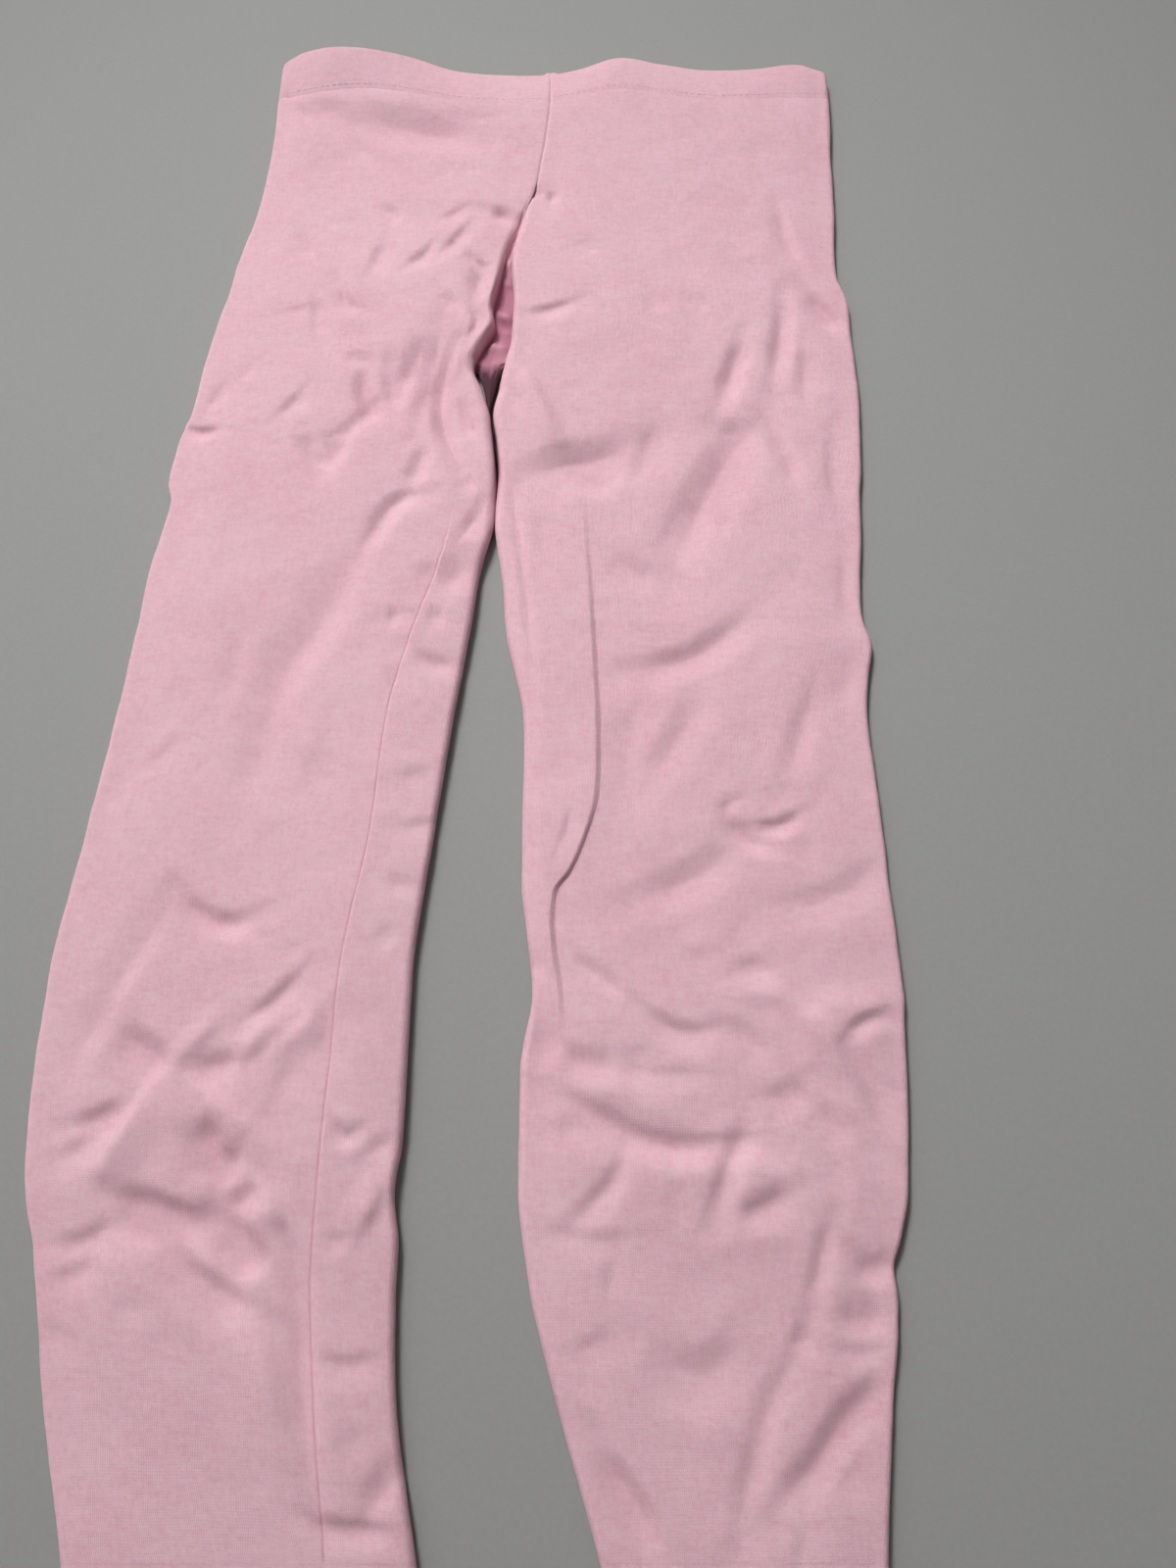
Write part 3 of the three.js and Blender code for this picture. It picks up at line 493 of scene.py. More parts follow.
class Curve:
    """Smooth curve through stations, held level past its two ends."""

    def __init__(self, keys: Sequence[float], values: Sequence[float]) -> None:
        """Stores the stations in rising order.

        Args:
            keys: Places of the stations, rising or falling.
            values: Value at each station.
        """
        order = np.argsort(np.asarray(keys, float))
        self.keys = np.asarray(keys, float)[order]
        self.values = np.asarray(values, float)[order]
        before = np.concatenate(([0], np.arange(len(order) - 1)))
        after = np.concatenate((np.arange(1, len(order)), [len(order) - 1]))
        rise = self.values[after] - self.values[before]
        self.slopes = rise / (self.keys[after] - self.keys[before])

    def __call__(self, place: np.ndarray | float) -> np.ndarray:
        """Returns the curve's value at each place."""
        held = np.clip(np.asarray(place, float), self.keys[0], self.keys[-1])
        cell = np.clip(np.searchsorted(self.keys, held, side="left") - 1, 0, len(self.keys) - 2)
        span = self.keys[cell + 1] - self.keys[cell]
        share = (held - self.keys[cell]) / span
        start, end = self.values[cell], self.values[cell + 1]
        bend = (1 - share) * self.slopes[cell] * span - share * self.slopes[cell + 1] * span
        bend = bend - (1 - 2 * share) * (end - start)
        return blend(start, end, share) + share * (1 - share) * bend


class Unevenness:
    """Soft seeded unevenness over the plan, from about -1 to 1."""

    GRID = 64

    def __init__(self, seed: int, size: float, octaves: int = 3) -> None:
        """Makes the lattices.

        Args:
            seed: Seed of the random lattice values.
            size: Distance between lattice points of the largest lattice, in mm.
            octaves: Number of lattices, each half the size of the last.
        """
        source = np.random.default_rng(seed)
        self.size = size
        self.lattices = [source.uniform(-1, 1, (self.GRID, self.GRID)) for _ in range(octaves)]

    def __call__(self, x: np.ndarray, y: np.ndarray) -> np.ndarray:
        """Returns the unevenness at each place of the plan, in mm."""
        total = np.zeros(np.broadcast(x, y).shape)
        for step, lattice in enumerate(self.lattices):
            across, along = x * 2**step / self.size + 7.3, y * 2**step / self.size + 3.1
            i, j = np.floor(across).astype(int), np.floor(along).astype(int)
            s, t = ease(across - i), ease(along - j)
            i0, i1, j0, j1 = i % self.GRID, (i + 1) % self.GRID, j % self.GRID, (j + 1) % self.GRID
            low = blend(lattice[i0, j0], lattice[i1, j0], s)
            high = blend(lattice[i0, j1], lattice[i1, j1], s)
            total += blend(low, high, t) * 0.5**step
        return total


class CreaseField:
    """Height that a set of creases adds to a cloth at any place of the plan."""

    PIECES = 32

    def __init__(self, creases: Sequence[Crease]) -> None:
        """Smooths the run of each crease.

        Args:
            creases: The creases, in mm.
        """
        self.creases = creases
        self.runs = [self._smooth(crease.run) for crease in creases]

    def _smooth(self, run: Sequence[tuple[float, float]]) -> np.ndarray:
        """Returns the run as a smooth line of many short pieces."""
        stations = np.arange(len(run), dtype=float)
        places = np.linspace(0, len(run) - 1, self.PIECES + 1)
        xs = Curve(stations, [point[0] for point in run])(places)
        ys = Curve(stations, [point[1] for point in run])(places)
        return np.stack((xs, ys), axis=1)

    def __call__(self, x: np.ndarray, y: np.ndarray) -> np.ndarray:
        """Returns the height at each place, in mm."""
        x, y = np.broadcast_arrays(x, y)
        height = np.zeros(x.shape)
        for crease, run in zip(self.creases, self.runs):
            reach = crease.spread * 3.4
            low, high = run.min(axis=0) - reach, run.max(axis=0) + reach
            near = (x > low[0]) & (x < high[0]) & (y > low[1]) & (y < high[1])
            if near.any():
                height[near] += self._profile(crease, run, np.stack((x[near], y[near]), axis=1))
        return height

    @staticmethod
    def _profile(crease: Crease, run: np.ndarray, places: np.ndarray) -> np.ndarray:
        """Returns one crease's height at places near it.

        Args:
            crease: The crease.
            run: Its smoothed line.
            places: Points of the plan, one per row.

        Returns:
            Height at each point, in mm.
        """
        start, way = run[:-1], np.diff(run, axis=0)
        length = np.linalg.norm(way, axis=1)
        tangent = way / length[:, None]
        from_start = places[:, None, :] - start[None]
        along = np.clip((from_start * tangent[None]).sum(axis=2), 0, length[None])
        away = from_start - tangent[None] * along[..., None]
        nearest = (away**2).sum(axis=2).argmin(axis=1)
        pick = np.arange(len(places))
        away, tangent, along = away[pick, nearest], tangent[nearest], along[pick, nearest]
        travelled = np.concatenate(([0], np.cumsum(length)))
        share = (travelled[nearest] + along) / travelled[-1]
        cross = tangent[:, 0] * away[:, 1] - tangent[:, 1] * away[:, 0]
        ahead = (away * tangent).sum(axis=1)
        at_end = (share <= 0) | (share >= 1)
        past = np.where(at_end, ahead, 0.0)
        off = np.where(at_end, np.abs(cross), np.hypot(cross, ahead))
        whole = run[-1] - run[0]
        waist_side = 1.0 if whole[0] + 0.25 * whole[1] >= 0 else -1.0
        width = crease.spread * (1 - crease.lean * np.tanh(cross * waist_side / 0.3))
        round_part = np.exp(-((off / (0.55 * width)) ** 2) / 2)
        flank = 1 - (np.hypot(off, 0.35) - 0.35) / width
        pinch_part = (flank + np.sqrt(flank**2 + 0.012)) / 2.006 * np.exp(-((off / (1.6 * width)) ** 4))
        across = blend(round_part, pinch_part, crease.sharp)
        taper = 0.3 + 0.7 * ease(2.6 * np.minimum(share, 1 - share))
        cap = np.exp(-((past / (0.8 * crease.spread)) ** 2) / 2)
        return crease.depth * taper * across * cap


class Cloth:
    """A wall of cloth: a fine outside face, a coarser lining face and a rim between."""

    def __init__(self, side: Side) -> None:
        """Starts an empty cloth.

        Args:
            side: The leg it belongs to, which decides which way its patches face.
        """
        self.side = side
        self.outside = np.zeros((0, 3))
        self.lining = np.zeros((0, 3))
        self.free = np.zeros((0, 3))
        self.patches: list[tuple[np.ndarray, np.ndarray]] = []

    def add(self, outside: np.ndarray, lining: np.ndarray, free: np.ndarray | None = None) -> np.ndarray:
        """Adds points.

        Args:
            outside: Points of the outside face, in mm, the last axis being x, y, z.
            lining: The same points on a plainer face, which the lining follows.
            free: 1 for each axis that the lining may lean along and 0 for the others.

        Returns:
            The points' indices, in the same layout.
        """
        shape = outside.shape[:-1]
        first = len(self.outside)
        free = np.ones(outside.shape) if free is None else free
        self.outside = np.concatenate((self.outside, outside.reshape(-1, 3)))
        self.lining = np.concatenate((self.lining, lining.reshape(-1, 3)))
        self.free = np.concatenate((self.free, free.reshape(-1, 3)))
        return np.arange(first, len(self.outside)).reshape(shape)

    def patch(self, grid: np.ndarray, place: np.ndarray) -> None:
        """Adds a patch of quads.

        Args:
            grid: Indices by row and column, with an even number of cells each way.
            place: Place on the flat cloth of each point, in mm.
        """
        if self.side is Side.LEFT:
            grid, place = grid[:, ::-1], place[:, ::-1]
        self.patches.append((grid, place))

    @staticmethod
    def _quads(grid: np.ndarray) -> np.ndarray:
        """Returns the quads of a grid, with any number of values a point."""
        corners = (grid[:-1, :-1], grid[1:, :-1], grid[1:, 1:], grid[:-1, 1:])
        stack = np.stack(corners, axis=2)
        return stack.reshape(-1, 4, *grid.shape[2:])

    def _normals(self, points: np.ndarray) -> np.ndarray:
        """Returns the outward direction at each point of a face."""
        normals = np.zeros(points.shape)
        for grid, _ in self.patches:
            quads = self._quads(grid)
            first = points[quads[:, 2]] - points[quads[:, 0]]
            second = points[quads[:, 3]] - points[quads[:, 1]]
            facing = np.cross(first, second)
            facing /= np.maximum(np.linalg.norm(facing, axis=1, keepdims=True), 1e-9)
            for corner in range(4):
                np.add.at(normals, quads[:, corner], facing)
        normals *= self.free
        return normals / np.maximum(np.linalg.norm(normals, axis=1, keepdims=True), 1e-9)

    def _rim(self, grids: list[np.ndarray]) -> np.ndarray:
        """Returns start, middle and end of each open edge, two fine cells long."""
        edges = []
        for grid in grids:
            for start, middle, end in (
                (grid[:-2:2, ::2], grid[1:-1:2, ::2], grid[2::2, ::2]),
                (grid[::2, :-2:2], grid[::2, 1:-1:2], grid[::2, 2::2]),
            ):
                inner = np.stack((start, middle, end), axis=2)
                down = start.shape[0] < grid[::2].shape[0]
                ahead = inner[:, :-1] if down else inner[1:]
                back = inner[:, 1:, ::-1] if down else inner[:-1, :, ::-1]
                edges += [ahead.reshape(-1, 3), back.reshape(-1, 3)]
        every = np.concatenate(edges)
        key = np.sort(every[:, [0, 2]], axis=1)
        _, back, count = np.unique(key, axis=0, return_inverse=True, return_counts=True)
        single = count[back.reshape(-1)] == 1
        return every[single]

    def mesh(self, name: str, wall: float, hollow: Callable[[np.ndarray], np.ndarray]) -> bpy.types.Object:
        """Makes the object.

        Args:
            name: Name of the object.
            wall: Thickness of the cloth, in mm.
            hollow: Painted shade at given points, from 0 to 2, kept as a point attribute.

        Returns:
            The new object, in metres.
        """
        normals = self._normals(self.lining)
        faces: list[tuple[int, ...]] = []
        places: list[np.ndarray] = []
        used = np.unique(np.concatenate([grid[::2, ::2].reshape(-1) for grid, _ in self.patches]))
        lining_of = np.full(len(self.outside), -1)
        lining_of[used] = len(self.outside) + np.arange(len(used))
        place_of = np.zeros((len(self.outside), 2))
        for grid, place in self.patches:
            place_of[grid.reshape(-1)] = place.reshape(-1, 2)
            faces += self._quads(grid).tolist()
            places.append(self._quads(place).reshape(-1, 2))
            faces += lining_of[self._quads(grid[::2, ::2])[:, ::-1]].tolist()
            places.append(self._quads(place[::2, ::2])[:, ::-1].reshape(-1, 2))
        rim = self._rim([grid for grid, _ in self.patches])
        for start, middle, end in rim.tolist():
            faces.append((end, middle, start, lining_of[start], lining_of[end]))
            places.append(place_of[[end, middle, start, start, end]])
        inside = self.lining[used] - normals[used] * wall
        points = np.concatenate((self.outside, inside))
        made = build_object(name, points * MM, faces, np.concatenate(places) * MM)
        # the painted shade goes into a point attribute, by which the jersey's finish darkens its colour
        depth = made.data.attributes.new("hollow", "FLOAT", "POINT")
        depth.data.foreach_set("value", hollow(points).astype(np.float32))
        return made


def build_object(
    name: str, points: np.ndarray, faces: Sequence[Sequence[int]], places: np.ndarray, turn: float = 50.0
) -> bpy.types.Object:
    """Makes a smooth-shaded mesh object.

    Args:
        name: Name of the object.
        points: Vertices, in metres.
        faces: Vertex indices of each face.
        places: Place on the flat cloth of each corner of each face, in metres.
        turn: Angle from which an edge is shaded sharp, in degrees.

    Returns:
        The object, linked to the scene.
    """
    mesh = bpy.data.meshes.new(name)
    mesh.from_pydata(points.tolist(), [], [tuple(face) for face in faces])
    layer = mesh.uv_layers.new(name="flat_cloth")
    layer.data.foreach_set("uv", np.ascontiguousarray(places, dtype=np.float32).reshape(-1))
    mesh.polygons.foreach_set("use_smooth", [True] * len(mesh.polygons))
    mesh.set_sharp_from_angle(angle=math.radians(turn))
    mesh.update()
    made = bpy.data.objects.new(name, mesh)
    bpy.context.scene.collection.objects.link(made)
    return made


@dataclass
class LegShape:
    """The lie of one leg: its section at every length of the garment."""

    side: Side
    rows: tuple[LegRow, ...]
    creases: tuple[Crease, ...]
    under_creases: tuple[Crease, ...]
    seed: int
    wall_cells: int = 8
    inner_cells: int = 30
    ledge_cells: int = 10
    outer_cells: int = 74
    round_cells: int = 12
    under_cells: int = 18
    fold_cells: int = 10
    floor_cells: int = 4
    ledge_run: float = 1.8
    least_height: float = 2.1
    puff: float = 0.8
    seam_depth: float = 0.36
    web: float = 25.0
    foot_blend: float = 6.0
    curl_share: float = 0.35
    curl_row: float = -80.0
    curl_reach: float = 17.0
    # where the painted shade and painted shadow of the panel's colour mask fall, and how dark they are
    valley_width: float = 16.0
    valley_from: float = 1.6
    valley_fade: float = 4.6
    valley_rows: tuple[float, float] = (112.0, 200.0)
    gap_shadow_tone: float = 1.9
    gap_rows: tuple[float, float] = (52.0, 127.0)
    gap_height: float = 6.4
    gap_width: float = 9.0
    inseam_shade_tone: float = 0.45
    lip_width: float = 0.36
    lip_top: float = 62.0
    crease_shade_tone: float = 0.13
    columns: dict[str, Curve] = field(init=False)
    rise: dict[str, Curve] = field(init=False)
    casing: dict[str, Curve] = field(init=False)

    def __post_init__(self) -> None:
        """Turns the tables into curves and the creases into a field."""
        self.columns = self._curves(self.rows)
        self.rise = self._curves(RISE)
        self.casing = self._curves(CASING_LINE)
        self.field = CreaseField(self.creases)
        self.under_field = CreaseField(self.under_creases)
        self.broad = Unevenness(self.seed, 34.0)
        self.fine = Unevenness(self.seed + 1, 9.0)
        self.edge_wave = Unevenness(self.seed + 2, 16.0)
        y = np.linspace(HEM_END, 300, 60)
        middle = (self.columns["outer"](y) + self.columns["inner"](y)) / 2
        self.axis = np.polynomial.Polynomial.fit(y, middle, 4)

    @staticmethod
    def _curves(rows: Sequence[NamedTuple]) -> dict[str, Curve]:
        """Returns a curve for each column of a table, along its first one."""
        names = rows[0]._fields
        keys = [row[0] for row in rows]
        return {name: Curve(keys, [row[i] for row in rows]) for i, name in enumerate(names) if i}

    @property
    def last_under(self) -> int:
        """Column of the last point under the leg, counted from the foot of the front."""
        front = self.wall_cells + self.inner_cells + self.ledge_cells + self.outer_cells
        return front + self.round_cells + self.under_cells

    def section(self, y: np.ndarray, above: bool) -> dict[str, np.ndarray]:
        """Works out the sizes of sections.

        Args:
            y: Lengths along the garment, one per row.
            above: True for sections above the crotch, which are open at the rise seam.

        Returns:
            Each size by name, as a column with one value per row.
        """
        y = y[:, None]
        at = {name: curve(y) for name, curve in self.columns.items()}
        held = np.maximum(y, CROTCH)
        foot_name = "left" if self.side is Side.LEFT else "right"
        foot = self.rise[foot_name](held)
        bank, sink = self.rise["bank"](held), self.rise["sink"](held)
        wave = self.edge_wave(y * 0, y)
        if not above:
            foot = blend(foot, at["inner"] + 0.18 * wave, ease((CROTCH - y) / self.foot_blend))
            bank, sink = at["crest"] * 0.47, at["crest"] * 0.575
        way = self.side.value
        outer = at["outer"] + 0.3 * wave
        at.update(
            y=y,
            sewn=ease((62 - y) / 50) * (self.side is Side.LEFT),
            foot=foot,
            crest_x=foot + way * bank,
            outer_top=outer - way * at["edge"] / 2,
            seam=self.rise["seam"](held) + way * SEAM_GAP / 2,
            sink=sink,
        )
        return at

    def height(self, at: dict[str, np.ndarray], x: np.ndarray) -> np.ndarray:
        """Returns the height of the front at plan places x of sections, without its ledge."""
        s = np.clip((x - at["crest_x"]) / (at["outer_top"] - at["crest_x"]), 0, 1)
        rest = 1 - s
        loft = at["crest"] * rest**2 + at["middle"] * 2 * s * rest + at["edge"] * s**2
        inside = np.minimum(np.abs(x - at["crest_x"]), np.abs(at["outer_top"] - x))
        fade = 0.45 + 0.55 * ease(inside / 7)
        y = at["y"] + x * 0
        relief = self.field(x, y) + 0.34 * self.broad(x, y) + 0.13 * self.fine(x, y * 1.5)
        waist = ease(1 - (WAIST_SEAM - y) / WAIST_BLEND)
        rim = blend(at["edge"], self.casing["seam_z"](x), ease((1 - s) * 14))
        drop = 0.16 * np.exp(-(((WAIST_SEAM - y) / 1.2) ** 2))
        puff = self.puff * ease(inside / 20)
        held = 0.25 + 0.75 * ease((WAIST_SEAM - y) / 12)
        shaped = blend(loft + puff, rim, waist) + relief * fade * held - drop
        over = (shaped - self.least_height) / 0.4
        return self.least_height + 0.4 * np.logaddexp(0, over)

    def shift(self, x: np.ndarray, y: np.ndarray) -> np.ndarray:
        """Returns how far the rows near the waist follow the casing's seam line."""
        share = ease(1 - (WAIST_SEAM - y) / WAIST_BLEND)
        return (self.casing["seam_y"](x) - WAIST_SEAM) * share

    def _ledge(self, at: dict[str, np.ndarray], rolled: bool) -> tuple[np.ndarray, np.ndarray]:
        """Returns plan x and height of the ledge's run, from its top to its foot.

        Args:
            at: Sizes of the sections.
            rolled: True for the outside, where the edge rolls over and casts a shadow.

        Returns:
            Plan x and height, one row per section and one column per point.
        """
        way, step, line = self.side.value, at["step"], at["ledge"]
        share = np.linspace(0, 1, self.ledge_cells + 1)[None]
        plain_x = line + way * self.ledge_run * share
        groove = self.seam_depth * at["sewn"] * np.exp(-(((share - 0.55) / 0.2) ** 2))
        plain_z = self.height(at, plain_x) + self._step(at, line) * (1 - ease(share)) - groove
        if not rolled:
            return plain_x, plain_z
        radius = np.maximum(step, 1e-3) / 1.77
        turn = math.radians(140) * share
        rolled_x = line + way * radius * (np.sin(turn) - 1)
        base = self.height(at, line - way * radius)
        rolled_z = base + self._step(at, line) - radius * (1 - np.cos(turn))
        near_row = np.exp(-(((at["y"] - self.curl_row) / self.curl_reach) ** 4))
        curl = self.curl_share * ease(step / 0.5) * near_row * (self.side is Side.RIGHT)
        return blend(plain_x, rolled_x, curl), blend(plain_z, rolled_z, curl)

    def _step(self, at: dict[str, np.ndarray], x: np.ndarray) -> np.ndarray:
        """Returns the height that the inner side of the ledge has over the front."""
        inside = np.minimum(np.abs(x - at["crest_x"]), np.abs(at["outer_top"] - x))
        return at["step"] * ease(0.4 + inside / 8)

    def front(self, at: dict[str, np.ndarray], rolled: bool) -> tuple[np.ndarray, np.ndarray]:
        """Returns plan x and height of the front, from its foot to the outer fold."""
        ledge_x, ledge_z = self._ledge(at, rolled)
        share = np.linspace(0, 1, self.inner_cells + 1)[None, :-1]
        inner_x = blend(at["crest_x"], ledge_x[:, :1], share)
        inner_z = self.height(at, inner_x) + self._step(at, inner_x)
        outer_share = np.linspace(0, 1, self.outer_cells + 1)[None, 1:]
        outer_x = blend(ledge_x[:, -1:], at["outer_top"], outer_share)
        outer_z = self.height(at, outer_x)
        turn = np.pi / 2 * np.arange(self.wall_cells)[None] / self.wall_cells
        foot_z = inner_z[:, :1] - at["sink"]
        wall_x = blend(at["foot"], at["crest_x"], 1 - np.cos(turn))
        wall_z = blend(foot_z, inner_z[:, :1], np.sin(turn))
        x = np.concatenate((wall_x, inner_x, ledge_x, outer_x), axis=1)
        z = np.concatenate((wall_z, inner_z, ledge_z, outer_z), axis=1)
        return x, z

    def rings(self, y: np.ndarray, above: bool, rolled: bool) -> dict[str, np.ndarray]:
        """Makes the points of rings round the leg.

        Args:
            y: Lengths along the garment, one per ring.
            above: True for rings above the crotch, open at the rise seam.
            rolled: True for the outside face, with its ledge rolled over.

        Returns:
            Points of the runs front, round, under, inner, floor and back.
        """
        at = self.section(y, above)
        way = self.side.value
        x, z = self.front(at, rolled)

        def place(px: np.ndarray, pz: np.ndarray) -> np.ndarray:
            """Returns points at given places across and heights, shifted along the garment."""
            px, pz, py = np.broadcast_arrays(px, pz, at["y"])
            return np.stack((px, py + self.shift(px, py), pz), axis=2)

        half = z[:, -1:] / 2
        turn = np.pi * np.arange(1, self.round_cells + 1)[None] / self.round_cells
        round_x = at["outer_top"] + way * half * np.sin(turn)
        under_end = at["foot"] + way * np.abs(at["crest_x"] - at["foot"])
        share = np.linspace(0, 1, self.under_cells + 1)[None, 1:]
        under_x = blend(at["outer_top"], under_end, share)
        inside = np.minimum(np.abs(under_x - under_end), np.abs(under_x - at["outer_top"]))
        under_z = np.clip(self.under_field(under_x, at["y"] + under_x * 0), 0, 0.9) * ease(inside / 10)
        foot_z = z[:, :1]
        turn_in = np.pi / 2 * np.arange(1, self.fold_cells)[None] / self.fold_cells
        share = np.arange(1, self.floor_cells + 1)[None] / self.floor_cells
        leaning = at["y"] + 0.5 * blend(at["foot"], at["seam"], share)
        wrinkle = sum(high * np.exp(-np.abs((leaning - y) / wide) ** 1.6) for y, wide, high in FLOOR_FOLDS)
        tilt = 0.06 * (blend(at["foot"], at["seam"], share) - at["seam"]) * wrinkle
        floor_z = foot_z - 0.3 * share + (wrinkle + tilt) * ease(share * 1.6)
        return {
            "front": place(x, z),
            "round": place(round_x, half + half * np.cos(turn)),
            "under": place(under_x, under_z),
            "inner": place(blend(under_end, at["foot"], np.sin(turn_in)), foot_z * (1 - np.cos(turn_in))),
            "floor": place(blend(at["foot"], at["seam"], share), floor_z),
            "back": place(blend(under_end, at["seam"], share), 0 * foot_z),
        }

    def hollow(self, points: np.ndarray) -> np.ndarray:
        """Returns the painted shade at points: up to 1 for painted shade in the crotch valley, along the
        left inseam and in crease troughs, and up to 2 for the painted shadow in the gap between the legs.
        """
        x, y, z = points[:, 0], points[:, 1], points[:, 2]
        # painted shade: the valley's cloth, below the crest near the rise seam, is darkened
        down = self.columns["crest"](y) - z
        near = ease((self.valley_width - np.abs(x - self.rise["seam"](np.maximum(y, CROTCH)))) / 5)
        low, top = self.valley_rows
        valley_shade = ease((down - self.valley_from) / self.valley_fade) * near
        valley_shade = valley_shade * ease((top - y) / 30) * ease((y - low) / 8)
        # painted shade: a thin dark line along the left leg's inseam groove
        line = self.columns["ledge"](y) + self.side.value * self.ledge_run * 0.55
        seam = self.inseam_shade_tone * np.exp(-(((x - line) / self.lip_width) ** 2))
        seam = seam * ease((self.lip_top - y) / 50) * (self.side is Side.LEFT)
        # painted shadow: cloth in the gap between the legs below the crotch goes nearly black
        low, top = self.gap_rows
        gap_shadow = self.gap_shadow_tone * ease((top - y) / 6) * ease((y - low) / 30)
        gap_shadow = gap_shadow * ease((self.gap_height - z) / 2.4)
        gap_shadow *= ease((self.gap_width - np.abs(x - self.columns["inner"](y))) / 2)
        # painted shade: the troughs of the front's creases are darkened
        crease_shade = self.crease_shade_tone * ease((-self.field(x, y) - 0.5) / 2.6)
        return np.maximum(np.maximum(valley_shade, seam + crease_shade) * ease((z - 1.0) / 0.6), gap_shadow)

    def flat_place(self, points: np.ndarray, anchor: int) -> np.ndarray:
        """Lays rings flat, for the knit's pattern.

        Args:
            points: Points by ring and column, in mm.
            anchor: Column whose plan place stays.

        Returns:
            Place across and along the flat cloth, in mm.
        """
        steps = np.linalg.norm(np.diff(points[..., [0, 2]], axis=1), axis=2)
        across = np.concatenate((np.zeros((len(points), 1)), np.cumsum(steps, axis=1)), axis=1)
        across = self.side.value * (across - across[:, anchor : anchor + 1])
        start = points[:, anchor, 0] - self.axis(points[:, anchor, 1])
        return np.stack((across + start[:, None], points[..., 1]), axis=2)


def open_loop(ring: dict[str, np.ndarray]) -> np.ndarray:
    """Returns a ring's points from the front rise seam to the back one."""
    parts = (ring["floor"][:, ::-1], ring["front"], ring["round"], ring["under"], ring["back"])
    return np.concatenate(parts, axis=1)


def tube_loop(ring: dict[str, np.ndarray]) -> np.ndarray:
    """Returns a ring's points once round, without the first one again."""
    return np.concatenate((ring["front"], ring["round"], ring["under"], ring["inner"]), axis=1)


def new_material(name: str) -> tuple[bpy.types.Material, bpy.types.NodeTree, bpy.types.Node]:
    """Makes a material with nodes.

    Args:
        name: Name of the material.

    Returns:
        The material, its node tree and its shader.
    """
    material = bpy.data.materials.new(name)
    material.use_nodes = True
    return material, material.node_tree, material.node_tree.nodes["Principled BSDF"]


@dataclass(frozen=True)
class JerseyFinish:
    """Soft cotton jersey: its dye, the knit's size, how much nap it has and the colour of the shade
    painted into it.
    """

    name: str
    pale: tuple[float, float, float] = (0.88, 0.58, 0.65)
    deep: tuple[float, float, float] = (0.755, 0.375, 0.465)
    wale: float = 0.95
    course: float = 0.72
    knit_depth: float = 0.13
    nap_depth: float = 0.24
    roughness: float = 0.95
    sheen: float = 0.08
    sheen_spread: float = 0.55
    sheen_tint: tuple[float, float, float] = (1.0, 0.86, 0.90)
    shine: float = 0.2
    # colour of the painted shade in the crotch valley, along the inseam and in crease troughs
    hollow: tuple[float, float, float] = (0.52, 0.215, 0.30)

    def material(self) -> bpy.types.Material:
        """Makes the material."""
        material, tree, shader = new_material(self.name)
        shader.inputs["Roughness"].default_value = self.roughness
        shader.inputs["Sheen Weight"].default_value = self.sheen
        shader.inputs["Sheen Roughness"].default_value = self.sheen_spread
        shader.inputs["Sheen Tint"].default_value = (*self.sheen_tint, 1.0)
        shader.inputs["Specular IOR Level"].default_value = self.shine
        flat = tree.nodes.new("ShaderNodeUVMap")
        flat.uv_map = "flat_cloth"
        space = tree.nodes.new("ShaderNodeTexCoord")
        knit = tree.nodes.new("ShaderNodeGroup")
        knit.node_tree = knit_group()
        knit.inputs["Wale"].default_value = self.wale * MM
        knit.inputs["Course"].default_value = self.course * MM
        knit.inputs["Knit Depth"].default_value = self.knit_depth
        knit.inputs["Nap Depth"].default_value = self.nap_depth
        tone = tree.nodes.new("ShaderNodeGroup")
        tone.node_tree = dye_and_shade_group()
        tone.inputs["Pale"].default_value = (*self.pale, 1.0)
        tone.inputs["Deep"].default_value = (*self.deep, 1.0)
        tone.inputs["Hollow Color"].default_value = (*self.hollow, 1.0)
        # reads the painted shade mask that the leg panels carry
        depth = tree.nodes.new("ShaderNodeAttribute")
        depth.attribute_name = "hollow"
        bump = tree.nodes.new("ShaderNodeBump")
        bump.inputs["Distance"].default_value = MM
        bump.inputs["Strength"].default_value = 1.0
        links = tree.links
        links.new(flat.outputs["UV"], knit.inputs["Flat Place"])
        links.new(space.outputs["Object"], knit.inputs["Place"])
        links.new(space.outputs["Object"], tone.inputs["Place"])
        links.new(flat.outputs["UV"], tone.inputs["Flat Place"])
        links.new(knit.outputs["Groove"], tone.inputs["Groove"])
        links.new(depth.outputs["Fac"], tone.inputs["Hollow"])
        links.new(tone.outputs["Color"], shader.inputs["Base Color"])
        links.new(knit.outputs["Height"], bump.inputs["Height"])
        links.new(bump.outputs["Normal"], shader.inputs["Normal"])
        return material


